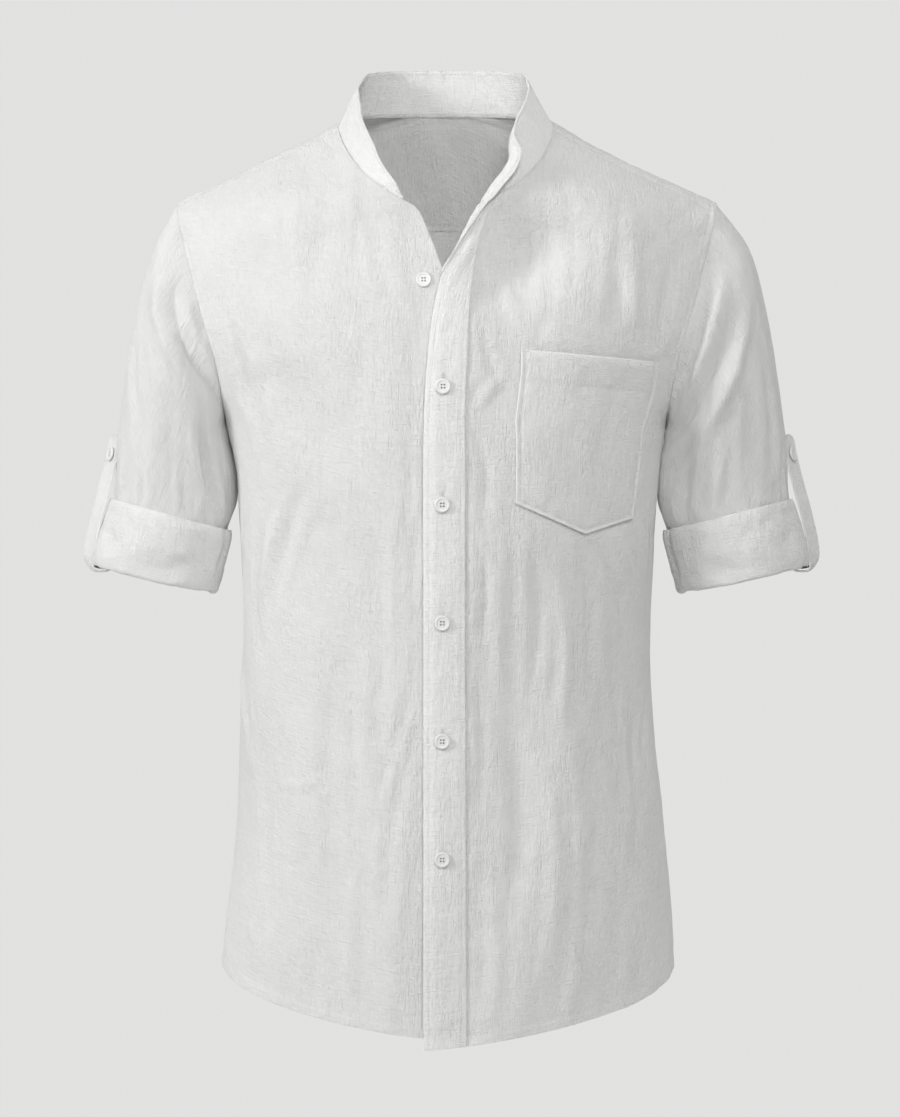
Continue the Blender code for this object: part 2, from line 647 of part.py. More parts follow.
def make_tab_button(side, garment):
    heights = [z for _, z in TAB_PATH]
    number = next(i for i, z in enumerate(heights) if z <= TAB_BUTTON_Z)
    x, z = TAB_PATH[number]
    above_x, above_z = TAB_PATH[number - 1]
    below_x, below_z = TAB_PATH[number + 1]
    out = np.array((above_z - below_z, 0.0, below_x - above_x))
    out *= (SIDE_SIGN[side], 1.0, 1.0)
    out /= np.linalg.norm(out)
    middle = SLEEVE_RINGS["cuff_top"][SLEEVE_COLUMNS.index("middle")]
    centre = tab_point(side, x, middle, z) + out * LAYER_GAP
    make_button(f"tab_button_{side}", centre, out, garment)


def main():
    for old in list(bpy.data.objects):
        bpy.data.objects.remove(old)
    garment = bpy.data.collections.new(GARMENT)
    bpy.context.scene.collection.children.link(garment)
    make_fronts(garment)
    make_placket(garment)
    make_pocket(garment)
    make_back(garment)
    make_yoke(garment)
    make_collar(garment)
    for side in SIDE_SIGN:
        make_sleeve(side, garment)
        make_cuff(side, garment)
        make_tab(side, garment)
        make_tab_button(side, garment)
    make_buttons(garment)


main()
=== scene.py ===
"""The looks of the mandarin collar shirt: shells of linen on the CAD pieces, stitches, buttons and stage.

Sizes and places are in millimetres and are turned into metres when a mesh is made. +Z is up, the front
faces -Y and the wearer's left is +X. The tables of rows and the functions that read them are those of the
part's own source, so each shell lies on its CAD solid.
"""

import json
from collections import namedtuple
from math import pi

import bmesh
import bpy
import numpy as np
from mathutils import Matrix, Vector

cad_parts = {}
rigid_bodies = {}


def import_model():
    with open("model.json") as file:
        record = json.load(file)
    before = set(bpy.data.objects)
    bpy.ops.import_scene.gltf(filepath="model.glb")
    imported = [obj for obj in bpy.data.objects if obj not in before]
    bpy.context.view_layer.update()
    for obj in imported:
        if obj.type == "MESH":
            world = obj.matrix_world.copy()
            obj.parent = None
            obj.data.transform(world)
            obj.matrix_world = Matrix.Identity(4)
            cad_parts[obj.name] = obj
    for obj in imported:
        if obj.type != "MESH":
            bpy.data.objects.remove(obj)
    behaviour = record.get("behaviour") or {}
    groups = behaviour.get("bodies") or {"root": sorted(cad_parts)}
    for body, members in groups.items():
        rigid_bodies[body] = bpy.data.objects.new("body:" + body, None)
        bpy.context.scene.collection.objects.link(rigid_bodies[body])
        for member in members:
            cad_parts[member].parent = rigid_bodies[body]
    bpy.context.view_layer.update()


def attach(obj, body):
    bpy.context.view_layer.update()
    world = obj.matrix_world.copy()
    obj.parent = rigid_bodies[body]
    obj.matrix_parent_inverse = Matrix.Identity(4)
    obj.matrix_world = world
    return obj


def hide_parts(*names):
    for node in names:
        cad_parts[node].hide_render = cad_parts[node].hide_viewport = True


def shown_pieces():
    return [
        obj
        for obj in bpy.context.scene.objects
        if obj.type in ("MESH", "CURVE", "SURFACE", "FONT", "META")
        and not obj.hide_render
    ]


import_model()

MM = 0.001
BODY = "root"

# --- The garment's form, as in the CAD ------------------------------------------------------------------

# Half of the torso as rows of cloth, from the front hem up the chest, over the shoulder and down the back.
# Each row runs from its inner edge (front edge, neckline or centre back) to its outer edge (side seam or
# armhole) as part of an ellipse. x is counted from the middle, and x1 differs between the wearer's right and
# left. arc: how far round the ellipse it runs, in degrees. swell: how far its middle stands out to the
# front (-) or the back (+). fall: 1 drops evenly, more drops late.
TORSO_COLUMNS = ("x0", "y0", "z0", "x1_right", "x1_left", "y1", "z1", "arc", "swell", "fall")
TORSO_ROWS = {
    "front_hem": (-17.5, -126, -733, 181, 184, 0, -677, 90, 0, 1.3),
    "front_tail": (-17.5, -128, -664, 177, 182.5, 0, -640, 90, 0, 1.2),
    "front_hip": (-17.5, -130, -576, 169.5, 175.5, 0, -565, 90, 0, 1.0),
    "front_waist": (-17.5, -130, -488, 166.5, 167.5, 0, -480, 90, 0, 1.0),
    "front_waist_high": (-17.5, -130.5, -408, 163.5, 165, 0, -405, 90, 0, 1.0),
    "front_rib": (-17.5, -131, -328, 166.5, 168.5, 0, -325, 90, 0, 1.0),
    "front_rib_high": (-18, -131.5, -275, 169, 172, 0, -280, 90, 0, 1.0),
    "front_underarm": (-18, -131, -234, 177, 177, 0, -245, 90, 0, 1.0),
    "front_armpit": (-16, -129, -203, 178.5, 178.5, -31, -229, 82, -3, 1.0),
    "front_chest": (-13, -125.5, -175, 181, 181, -45, -210, 76, -4, 1.0),
    "front_chest_high": (-8, -121, -148, 184.5, 184.5, -51, -193, 70, -5, 1.0),
    "v_bottom": (-3, -117, -129, 188.5, 188.5, -53, -178, 66, -6, 1.0),
    "v_low": (6, -112, -112, 192.5, 192.5, -52, -165, 62, -6, 1.0),
    "v_mid": (13, -107, -97, 196, 196, -50, -153, 59, -6, 1.0),
    "collar_corner": (22, -101.5, -77, 199.5, 199.5, -47.5, -140, 56, -6, 1.0),
    "collar_end": (34, -98, -69, 203, 203, -44, -126, 53, -6, 1.0),
    "neck_front": (54, -88, -57, 207, 207, -39, -112, 50, -6, 1.0),
    "neck_side": (68, -70, -44, 211, 211, -33, -96, 46, -6, 1.0),
    "neck_slope": (80, -45, -26, 215, 215, -29, -81, 42, -4, 0.95),
    "front_seam": (87, -17, -6, 217, 217.5, -17, -68, 40, -2, 0.9),
    "ridge": (85, 2, 2.5, 217.5, 219, 2, -63.5, 40, 0, 0.88),
    "back_slope": (83, 22, 7, 217, 217.5, 15, -66.5, 42, 4, 0.92),
    "neck_back_side": (72, 46, 13, 216, 216, 26, -71, 46, 8, 1.0),
    "neck_back": (42, 68.5, 16.6, 214, 214, 36, -78, 50, 11, 1.15),
    "neck_centre": (0, 72, 17, 212, 212, 43, -86, 56, 12, 1.3),
    "yoke_middle": (0, 92, -28, 209.5, 209.5, 50, -97, 60, 8, 1.4),
    "back_seam": (0, 108, -77, 206, 206, 55, -110, 64, 4, 1.6),
    "back_blade": (0, 118, -130, 198, 198, 58, -140, 70, 2, 1.6),
    "back_chest": (0, 123, -180, 188, 188, 56, -182, 76, 0, 1.6),
    "back_armpit": (0, 125, -218, 181, 181, 38, -222, 83, 0, 1.3),
    "back_underarm": (0, 125, -250, 177, 177, 0, -245, 90, 0, 1.0),
    "back_rib_high": (0, 124.5, -281, 169, 172, 0, -280, 90, 0, 1.0),
    "back_rib": (0, 124, -325, 166.5, 168.5, 0, -325, 90, 0, 1.0),
    "back_waist_high": (0, 121, -405, 163.5, 165, 0, -405, 90, 0, 1.0),
    "back_waist": (0, 120, -484, 166.5, 167.5, 0, -480, 90, 0, 1.0),
    "back_hip": (0, 123, -574, 169.5, 175.5, 0, -565, 90, 0, 1.0),
    "back_tail": (0, 126, -664, 177, 182.5, 0, -640, 90, 0, 1.2),
    "back_hem": (0, 126, -738, 181, 184, 0, -677, 90, 0, 1.6),
}
CORNER_ROWS = ("front_underarm", "neck_centre", "back_underarm")  # where an edge turns sharply

# The seam that joins the placket to the left front, as its distance from the middle at some of the rows.
PLACKET_SEAM = {
    "front_hem": 15.5,
    "front_waist_high": 14.5,
    "front_armpit": 14.5,
    "front_chest_high": 18.0,
    "v_low": 22.5,
    "v_mid": 26.0,
    "collar_corner": 33.0,
    "collar_end": 38.0,
}

# The collar stands on the neckline rows. For the wearer's right and left, lean: how far it leans inside the
# seam, height: how far it rises, roll: how much cloth above that turns outward and down again.
COLLAR_COLUMNS = ("lean_right", "height_right", "roll_right", "lean_left", "height_left", "roll_left")
COLLAR_ROWS = {
    "collar_end": (1, 5, 0, 1, 3, 14),
    "neck_front": (5, 17, 0, 6, 16, 14),
    "neck_side": (9, 26, 0, 18, 20, 10),
    "neck_slope": (13, 28.5, 0, 20.5, 28, 3),
    "front_seam": (16, 30.5, 0, 20.5, 31, 0),
    "ridge": (15, 31.5, 0, 18.5, 31.5, 0),
    "back_slope": (15, 32.5, 0, 17, 32.5, 0),
    "neck_back_side": (10, 33.5, 0, 11, 33.5, 0),
    "neck_back": (2, 35, 0, 3, 35, 0),
    "neck_centre": (-3, 36, 0, -3, 36, 0),
}
# On the wearer's left the placket's edge goes on rolling out below the collar: lean, height, roll and how far
# the edge is set back from the torso's own rows.
FLAP_ROWS = {
    "v_bottom": (0, 0.1, 0.1, 0.4),
    "v_low": (0, 0.2, 0.8, 1.6),
    "v_mid": (0, 0.3, 2.0, 1.8),
    "collar_corner": (0, 1.0, 6.5, 5),
}
FLAP_RADII = (0.8, 0.8, 0.9, 2.6, 5.5)
COLLAR_ROUNDING = 0.045  # share of half the collar over which its end is rounded off
COLLAR_START = 0.15  # share of its height that it has at that end
ROLL_RADIUS = 5.5
ROLL_LIMIT = 2.3  # radians: past this the rolled cloth hangs straight
ROLL_TOWARD = (0.92, -0.39, 0.0)  # the rolled cloth lies over toward the shoulder
LEAST_ROLL = 0.6  # keeps the collar's last rows of points apart where nothing rolls
# The sleeve as rings from the armhole to the turned-up end. A ring is an ellipse from its inner point,
# beside the body, to its outer point. middle and depth: its centre and half size from front to back.
SLEEVE_COLUMNS = ("inner_x", "inner_z", "outer_x", "outer_z", "middle", "depth")
SLEEVE_RINGS = {
    "head": (178.8, -259, 236.5, -101, 4, 63),
    "biceps": (176.6, -273, 250.5, -152, 8, 66),
    "elbow": (174.2, -288, 260, -205, 11, 64),
    "forearm": (173.6, -306, 267, -256, 13, 60),
    "cuff_top": (177.8, -328, 270, -303, 13, 56),
    "cuff_bottom": (188.5, -378, 284.5, -357, 13, 56),
}
SLEEVE_REACH = {"right": (0.0, 0.0), "left": (2.0, 9.0)}  # added to each ring's inner and outer x

# The tab from its free end down outside the cuff, under it and up inside the sleeve: x and z of its outer
# face on the wearer's right.
TAB_PATH = (
    (269.5, -250), (272, -266), (278, -287), (285.5, -311), (291, -334), (292.5, -350), (289.5, -360),
    (282.5, -362), (276, -360), (272.5, -350), (267, -328), (261.5, -300), (257.5, -270),
)  # fmt: skip

# The pocket's corners on the front, as x and z: the tip is the point of its lower edge.
POCKET = {
    "top_inner": (57.6, -188.7),
    "top_outer": (166.8, -195.6),
    "bottom_inner": (53.5, -308.0),
    "bottom_outer": (146.0, -319.0),
    "tip": (107.8, -331.6),
}
POCKET_ROUND = ("top_inner", "top_outer", "bottom_outer", "tip", "bottom_inner")

# The largest folds: soft ridges (+) and troughs (-) that run from a top to a bottom point. half_width is
# where the fold has almost died away.
Fold = namedtuple("Fold", "top_x top_z bottom_x bottom_z half_width height")
FOLD_FALL = 1.6  # how steeply a fold dies away to its sides
CALM_EDGE = 0.12  # folds fade out over this share of a row before its outer edge
FRONT_FOLDS = (
    Fold(-152, -215, -96, -325, 38, 6.0),
    Fold(-128, -196, -78, -290, 30, -3.5),
    Fold(-60, -300, -76, -570, 42, -4.0),
    Fold(-104, -350, -118, -690, 48, 4.5),
    Fold(-46, -560, -40, -735, 36, 3.5),
    Fold(-146, -460, -152, -650, 38, -3.5),
    Fold(46, -350, 62, -610, 42, -4.0),
    Fold(94, -380, 104, -710, 48, 4.5),
    Fold(142, -360, 136, -560, 38, -3.5),
    Fold(40, -130, 74, -250, 34, -3.0),
    Fold(64, -600, 54, -735, 34, 3.0),
)
BACK_FOLDS = (
    Fold(-124, -140, -70, -310, 46, 5.0),
    Fold(116, -150, 64, -300, 44, 4.5),
    Fold(-30, -250, -46, -530, 48, -5.0),
    Fold(26, -320, 36, -660, 46, 4.5),
    Fold(-98, -370, -108, -690, 46, 4.5),
    Fold(92, -340, 100, -620, 46, -4.5),
    Fold(-8, -510, -16, -735, 42, -4.0),
)

ROW = {name: i for i, name in enumerate(TORSO_ROWS)}
LAST_ROW = len(TORSO_ROWS) - 1
SIDE_SIGN = {"right": -1.0, "left": 1.0}
NUDGE = 0.01  # in rows and in shares of a row: the step that a surface's slope is read over
NECK_NUDGE = 0.1  # and the neckline's direction, in rows
HALVINGS = 30  # of the span in which a row number is searched for

EASE_TAPS = ((-1.7, 0.15), (-0.85, 0.22), (0.0, 0.26), (0.85, 0.22), (1.7, 0.15))  # rows off, weight
EASE_TO = 0.6  # share of a row from which the armhole's corners begin to show
EASE_REACH = 3  # rows over which the easing sets in

V_EASE = 3.8  # how much farther out than the left one the right front's edge lies at the V's bottom
V_REACH = 0.9  # and over how many rows that fades
UNDERLAP_EDGE = -10.0  # the right front's edge, this far past the middle under the placket
UNDERLAP_DIP = 3.0  # how far it dips there to pass under it
UNDERLAP_FLAT = 18.0  # up to this distance from the middle it dips fully
UNDERLAP_END = 48.0  # and from this one on not at all
RIGHT_HEM_RISE = 0.08  # in rows
LAYER_GAP = 0.5
PLACKET_LIFT = 2.1  # the placket's face above the fronts
POCKET_LIFT = 2.4  # the pocket's face above the left front, away from its sewn edges
CUFF_HEIGHT = 53.0
SLEEVE_IN_CUFF = 48.0
TAB_WIDTH = 25.0

# --- Fineness of the shells -----------------------------------------------------------------------------

CLOTH = 0.8  # thickness of one layer
BAND_CLOTH = 1.5  # and of the collar's layers
STEP = 3.8  # spacing of a shell's points
EDGE_STEP = 1.3  # and near its edges, where it is stitched
EDGE_MARGIN = 11.0
FRONT_WIDTH, BACK_WIDTH, YOKE_WIDTH = 250, 270, 220  # widths that the points are spread over; half the back's
PLACKET_WIDTH = 33
POCKET_WIDTH, POCKET_LENGTH = 110, 130
COLLAR_LENGTH = 190  # of half the collar
CLOTH_APART = 400.0  # how far apart in the weave's pattern two pieces lie
SLEEVE_COUNT = 132  # points round a sleeve
ARMHOLE_SAMPLES = 121
ROW_SAMPLES = 400
JOIN_WITHIN = 0.01  # distance within which points of two halves become one
EDGE_ANGLE = 60  # degrees from which an edge of the cloth is rounded
EDGE_ROUNDING = 0.4  # of the cloth's thickness
NO_LENGTH = 1e-9  # a direction shorter than this has none

# --- Folds and creases that the shells add to the CAD's own ---------------------------------------------

# A crease is its half width, where it has almost died away, its height, which stands out (+) or sinks in (-),
# and then the points of its path, as seen from the front or the back (x, z).
PATH_SAMPLES = 10
CREASE_FALL = 1.7  # how steeply a crease dies away to its sides
BESIDE_CREASE = (0.35, 1.15, 2.4)  # the dip beside it: depth, distance in half widths and steepness
CREASE_REACH = 2.2  # half widths past which a crease is not felt
CREASE_ENDS = 0.8  # below 1 it rises more steeply from its two ends
FRONT_CREASES = {
    "right": (
        (4.5, -1.5, (-24.5, -308), (-24, -346), (-22.5, -382)),
        (4.5, -1.3, (-24, -440), (-25, -482), (-23.5, -526)),
        (9, 0.9, (-76, 0), (-74, -60), (-80, -130)),
        (10, -0.9, (-92, -20), (-95, -80), (-104, -150)),
        (11, 1.0, (-118, -40), (-118, -100), (-112, -170)),
        (11, -1.2, (-150, -66), (-142, -120), (-128, -170)),
        (8, -0.9, (-60, -70), (-52, -120), (-40, -170)),
        (7, 0.8, (-44, -86), (-34, -130), (-24, -172)),
        (10, 1.6, (-172, -120), (-160, -170), (-142, -225)),
        (12, -1.8, (-168, -176), (-150, -235), (-128, -300)),
        (11, -2.2, (-108, -290), (-128, -345), (-138, -400)),
        (10, 1.6, (-122, -300), (-142, -352), (-150, -420)),
        (8, -1.5, (-146, -330), (-150, -385), (-144, -440)),
        (5, -1.3, (-30, -238), (-28, -290), (-31, -340)),
        (4.5, -1.5, (-24, -320), (-27, -365), (-24, -405)),
        (8, 1.0, (-38, -300), (-44, -360), (-40, -420)),
        (6, -1.4, (-23, -415), (-32, -470), (-54, -535)),
        (8, -1.5, (-25, -480), (-42, -560), (-50, -640)),
        (6, 1.1, (-24, -560), (-34, -610), (-38, -680)),
        (11, 1.5, (-60, -400), (-64, -480), (-58, -560)),
        (13, -1.6, (-88, -420), (-92, -520), (-88, -620)),
        (12, 1.6, (-118, -460), (-116, -560), (-124, -660)),
        (11, -1.4, (-146, -500), (-142, -600), (-150, -690)),
        (11, 1.2, (-72, -600), (-76, -660), (-70, -728)),
        (9, -1.0, (-100, -640), (-104, -680), (-100, -720)),
        (6, 0.7, (-140, -520), (-118, -530), (-96, -524)),
        (5, -0.6, (-138, -585), (-120, -592), (-104, -588)),
        (6, 0.9, (-160, -630), (-150, -660), (-146, -690)),
        (9, 1.4, (-164, -420), (-163, -470), (-158, -520)),
    ),
    "left": (
        (9, -1.1, (60, -60), (68, -110), (64, -160)),
        (10, 1.0, (84, -50), (92, -100), (88, -158)),
        (11, -1.0, (110, -50), (120, -110), (116, -160)),
        (11, 1.1, (150, -70), (142, -120), (148, -170)),
        (13, -1.6, (136, -96), (134, -135), (130, -172)),
        (11, 1.3, (152, -90), (150, -130), (146, -175)),
        (12, -1.8, (180, -112), (173, -150), (164, -188)),
        (8, 1.2, (40, -100), (48, -140), (62, -176)),
        (6, -1.3, (26, -160), (34, -200), (52, -230)),
        (6, 1.4, (22, -236), (32, -222), (46, -206)),
        (6, -1.5, (22, -250), (30, -280), (28, -330)),
        (8, 1.0, (38, -240), (44, -290), (38, -345)),
        (5, -1.3, (24, -335), (30, -370), (26, -415)),
        (10, 1.5, (46, -320), (40, -400), (44, -480)),
        (8, -1.7, (66, -335), (72, -400), (66, -470)),
        (9, 1.6, (84, -345), (92, -420), (88, -490)),
        (8, -1.6, (104, -340), (112, -400), (110, -460)),
        (9, -2.2, (112, -330), (134, -375), (150, -420)),
        (8, 1.7, (128, -325), (148, -362), (160, -396)),
        (6, -1.3, (24, -440), (28, -500), (24, -560)),
        (12, -1.7, (54, -470), (58, -560), (52, -640)),
        (12, 1.6, (78, -500), (84, -590), (80, -680)),
        (12, -1.5, (108, -480), (114, -570), (110, -650)),
        (11, 1.4, (138, -430), (144, -520), (140, -600)),
        (7, -1.2, (160, -470), (158, -500), (163, -530)),
        (10, 1.2, (30, -600), (38, -660), (34, -724)),
        (10, 1.0, (96, -640), (100, -680), (94, -715)),
        (9, -1.1, (128, -620), (134, -660), (130, -700)),
        (9, 1.2, (120, -360), (126, -440), (134, -500)),
    ),
}
COLLAR_HOLLOW = Fold(116, -84, 10, -136, 50, -20.0)  # behind the rolled edge of the wearer's left
BACK_CREASES = (
    (13, 1.6, (-60, -90), (-56, -160), (-50, -240)),
    (13, -1.8, (-96, -110), (-84, -190), (-76, -280)),
    (13, 2.2, (-150, -190), (-126, -260), (-104, -330)),
    (12, -2.0, (-160, -240), (-140, -310), (-128, -380)),
    (13, -2.2, (150, -185), (128, -250), (104, -330)),
    (12, 2.0, (160, -230), (146, -300), (126, -370)),
    (13, -1.5, (58, -90), (62, -170), (56, -250)),
    (12, 1.3, (30, -88), (34, -180), (28, -260)),
    (12, -1.2, (-20, -100), (-24, -180), (-18, -260)),
    (11, 1.6, (-90, -300), (-60, -330), (-20, -340)),
    (11, -1.6, (96, -296), (64, -336), (24, -352)),
    (12, -1.5, (-100, -340), (-60, -368), (-16, -380)),
    (14, 1.8, (-40, -380), (-46, -480), (-40, -580)),
    (13, -1.6, (8, -400), (2, -500), (8, -600)),
    (14, 1.7, (52, -380), (58, -480), (50, -600)),
    (13, -1.7, (100, -400), (104, -500), (110, -600)),
    (13, -1.6, (-96, -420), (-104, -520), (-98, -620)),
    (12, 1.6, (-140, -430), (-144, -540), (-150, -640)),
    (12, 1.5, (142, -440), (146, -540), (150, -640)),
    (12, -1.3, (-60, -600), (-66, -660), (-58, -722)),
    (12, 1.2, (30, -610), (26, -670), (32, -728)),
    (11, -1.2, (84, -620), (90, -670), (84, -715)),
)
YOKE_CREASES = (
    (9, 0.9, (-150, -30), (-110, -10), (-90, 2)),
    (9, -0.9, (150, -34), (118, -14), (94, 0)),
)

# A path on a sleeve is (degrees round it, level): 0 is beside the body, 90 the front, 180 the outside and 270
# the back. Levels count the rings: 0 is the armhole, 1 the head and 5 the cuff's top.
SLEEVE_CREASES = {
    "right": (
        (11, -6.5, (122, 0.5), (113, 0.95), (98, 1.1), (78, 0.95), (54, 0.6), (30, 0.3)),
        (13, 2.6, (134, 0.9), (124, 1.4), (104, 1.6), (84, 1.5)),
        (7, -4.2, (62, 2.0), (60, 2.6), (54, 3.3), (46, 4.3), (36, 5.1)),
        (8, 2.6, (74, 2.4), (68, 3.2), (60, 4.2), (50, 5.0)),
        (8, 2.0, (40, 2.4), (38, 3.2), (32, 4.2), (24, 5.0)),
        (30, 6.6, (9, 0.0), (9, 0.9), (9, 2.0), (10, 3.6), (14, 5.2)),
        (13, 1.6, (146, 0.8), (130, 1.6), (108, 2.8), (96, 4.0)),
        (9, -2.0, (101, 2.4), (92, 3.5), (86, 4.8)),
        (9, -1.7, (162, 2.0), (142, 2.9), (125, 3.5), (116, 4.3)),
        (9, 1.4, (118, 3.0), (112, 3.9), (116, 4.9)),
        (4.5, -3.0, (119, 4.2), (117, 4.7), (115, 5.1)),
        (5, 1.5, (108, 4.2), (107, 4.7), (107, 5.1)),
        (6, 1.4, (152, 4.0), (150, 4.6), (150, 5.1)),
        (5, -1.4, (80, 3.6), (76, 4.4), (72, 5.1)),
        (12, 1.3, (168, 1.4), (160, 2.4), (162, 3.4)),
    ),
    "left": (
        (17, -8.5, (118, 0.15), (96, 0.25), (74, 0.3), (48, 0.3), (26, 0.3)),
        (9, 4.6, (128, 0.45), (110, 0.62), (84, 0.75), (58, 0.8), (32, 0.8)),
        (13, -7.5, (128, 0.9), (108, 1.3), (84, 1.55), (58, 1.5), (30, 1.5)),
        (8, 3.2, (70, 1.45), (62, 1.7), (42, 2.0), (20, 2.5)),
        (11, -3.4, (60, 2.2), (40, 2.7), (24, 3.3)),
        (30, 6.6, (9, 0.0), (9, 0.9), (9, 2.0), (10, 3.6), (14, 5.2)),
        (12, 2.8, (128, 1.6), (108, 1.9), (86, 2.3), (66, 3.0)),
        (8, -1.7, (117, 1.6), (115, 2.9), (106, 4.2)),
        (7, -1.7, (139, 2.1), (139, 3.4), (131, 4.6)),
        (7, 1.4, (128, 2.4), (127, 3.4), (120, 4.6)),
        (8, 2.2, (87, 3.1), (79, 4.1), (71, 5.0)),
        (8, -2.0, (76, 3.2), (68, 4.1), (60, 5.0)),
        (8, -2.8, (55, 2.8), (46, 4.0), (38, 4.9)),
        (5, -2.4, (152, 4.0), (150, 4.6), (151, 5.1)),
        (9, 1.2, (150, 2.8), (146, 3.6), (148, 4.6)),
        (12, -1.3, (164, 1.0), (160, 2.0), (164, 3.0)),
    ),
}
HIDDEN_SLEEVE_CREASES = (
    (12, -3.0, (232, 0.6), (250, 1.6), (282, 2.8), (300, 3.8)),
    (12, 2.4, (248, 0.6), (268, 1.6), (296, 2.8)),
    (12, 2.0, (222, 1.8), (236, 2.8), (262, 4.0)),
    (11, -1.6, (206, 2.4), (214, 3.4), (220, 4.6)),
    (7, -1.5, (244, 3.6), (252, 4.4), (256, 5.1)),
    (8, 1.6, (284, 3.4), (288, 4.2), (292, 5.0)),
)

# Small wrinkles all over the cloth: how wide and long each is, how far it leans (degrees) and its height.
Wrinkle = namedtuple("Wrinkle", "width length lean height")
WRINKLE_BEND = 0.6  # how far a wrinkle wanders, in its own widths
WRINKLE_EDGE = 0.4  # 0 rounds the tops, 1 makes them sharp
PATCHES = (0.4, 70, 90)  # how much less wrinkled the calm patches are, and their size
NOISE_SIZE = 64  # values along each side, after which the noise repeats
BODY_WRINKLES = (
    Wrinkle(34, 170, 1, 2.1),
    Wrinkle(15, 110, -2, 1.15),
    Wrinkle(8, 70, 1, 0.5),
    Wrinkle(9, 24, 24, 0.38),
    Wrinkle(8, 20, -35, 0.3),
)
SLEEVE_WRINKLES = (
    Wrinkle(26, 80, 8, 1.1),
    Wrinkle(12, 44, 20, 0.6),
    Wrinkle(8, 24, -24, 0.34),
    Wrinkle(6, 16, 36, 0.22),
)
BAND_WRINKLES = (Wrinkle(22, 30, 10, 0.35), Wrinkle(7, 14, -20, 0.2))
CUFF_WRINKLES = (Wrinkle(30, 22, 14, 2.0), Wrinkle(12, 28, 52, 1.2), Wrinkle(9, 17, -48, 0.8))
PUCKER_LENGTH = 6.5  # along a seam, from one ripple to the next
PUCKER_REACH = 7.0  # how far from the seam a ripple dies away
PUCKER_CHANGE = 30.0  # and over what distance from it the ripples change
GROOVE = 0.9  # half width of the groove that a line of stitches pulls in
LAYER_STEP = 0.8  # half the width over which a layer's edge shows through


# --- Reading the tables ---------------------------------------------------------------------------------


def smooth_rows(rows, place, corners=()):
    """Reads a table between its rows along a smooth curve, which keeps a corner at the rows in corners."""
    rows, place = np.asarray(rows, dtype=float), np.asarray(place, dtype=float)
    last = len(rows) - 1
    leave, arrive = np.diff(rows, axis=0), np.diff(rows, axis=0)
    for i in range(1, last):
        if i not in corners:
            leave[i] = arrive[i - 1] = (rows[i + 1] - rows[i - 1]) / 2
    i = np.clip(place.astype(int), 0, last - 1)
    f = (place - i).reshape(place.shape + (1,) * (rows.ndim - 1))
    return (
        rows[i] * (2 * f**3 - 3 * f**2 + 1)
        + leave[i] * (f**3 - 2 * f**2 + f)
        + rows[i + 1] * (3 * f**2 - 2 * f**3)
        + arrive[i] * (f**3 - f**2)
    )


def torso_rows(side, place, corners=CORNER_ROWS):
    """For each place: its row's inner point, outer point, arc, swell and fall, along the last axis."""
    rows = smooth_rows(list(TORSO_ROWS.values()), place, [ROW[name] for name in corners])
    return np.delete(rows, TORSO_COLUMNS.index("x1_left" if side == "right" else "x1_right"), axis=-1)


def run_along(line):
    """The distance along a line of points at each of them."""
    return np.concatenate(([0.0], np.cumsum(np.linalg.norm(np.diff(line, axis=0), axis=1))))


def read_at(at, run, line):
    """What a line holds at distances along it."""
    return np.stack([np.interp(at, run, values) for values in line.T], axis=-1)


def ramp(value, start, end):
    """0 up to the start and 1 from the end on, rising smoothly between. The end may lie below the start."""
    part = np.clip((value - start) / (end - start), 0.0, 1.0)
    return part**2 * (3 - 2 * part)


def bell(distance, half_width=1.0):
    return np.exp(-((distance / half_width) ** 2))


# --- The torso's surface --------------------------------------------------------------------------------


def half_points(side, place, across):
    """Points of half the torso at rows and at 0 (inner edge) to 1 (outer edge), x counted outward.

    The armhole's corners under the arm show at the outer edge only: the cloth inside it is eased over them.
    """
    sharp = ellipse_points(torso_rows(side, place), across)
    soft = np.zeros(sharp.shape)
    for shift, weight in EASE_TAPS:
        near = np.clip(place + shift * ease_window(place), 0, LAST_ROW)
        soft += weight * ellipse_points(torso_rows(side, near, CORNER_ROWS[1:2]), across)
    return soft + (sharp - soft) * ramp(across, EASE_TO, 1)[..., None]


def ease_window(place):
    """How much the rows are eased: fully from the ribs to the chest, front and back, and not elsewhere."""
    window = np.zeros(np.shape(place))
    for first, last in (("front_waist", "v_bottom"), ("back_blade", "back_waist")):
        reach = np.minimum(place - ROW[first], ROW[last] - place)
        window = np.maximum(window, ramp(reach, 0, EASE_REACH))
    return window


def ellipse_points(rows, across):
    x0, y0, z0, x1, y1, z1, arc, swell, fall = np.moveaxis(rows, -1, 0)
    arc = np.radians(arc)
    turn = arc * across
    x = x0 + (x1 - x0) * np.sin(turn) / np.sin(arc)
    y = y0 + (y1 - y0) * (1 - np.cos(turn)) / (1 - np.cos(arc)) + swell * np.sin(pi * across) ** 2
    z = z0 + (z1 - z0) * np.maximum(across, 0.0) ** fall
    return np.stack((x, y, z), axis=-1)


def across_at(side, place, x):
    """The share of each row at which the half torso is x from the middle."""
    rows = torso_rows(side, place)
    x0, x1, arc = rows[..., 0], rows[..., 3], np.radians(rows[..., 6])
    return np.arcsin(np.clip((x - x0) / (x1 - x0) * np.sin(arc), 0.0, 1.0)) / arc


def fold_height(folds, x, z):
    """How far the CAD's folds push the cloth out at places seen from the front."""
    total = np.zeros(x.shape)
    for fold in folds:
        run = np.array((fold.bottom_x - fold.top_x, fold.bottom_z - fold.top_z))
        reach = np.stack((x - fold.top_x, z - fold.top_z), axis=-1)
        along = reach @ run / (run @ run)
        aside = np.linalg.norm(reach - along[..., None] * run, axis=-1)
        shape = np.sin(pi * np.clip(along, 0, 1)) * bell(FOLD_FALL * aside, fold.half_width)
        total += fold.height * shape
    return total


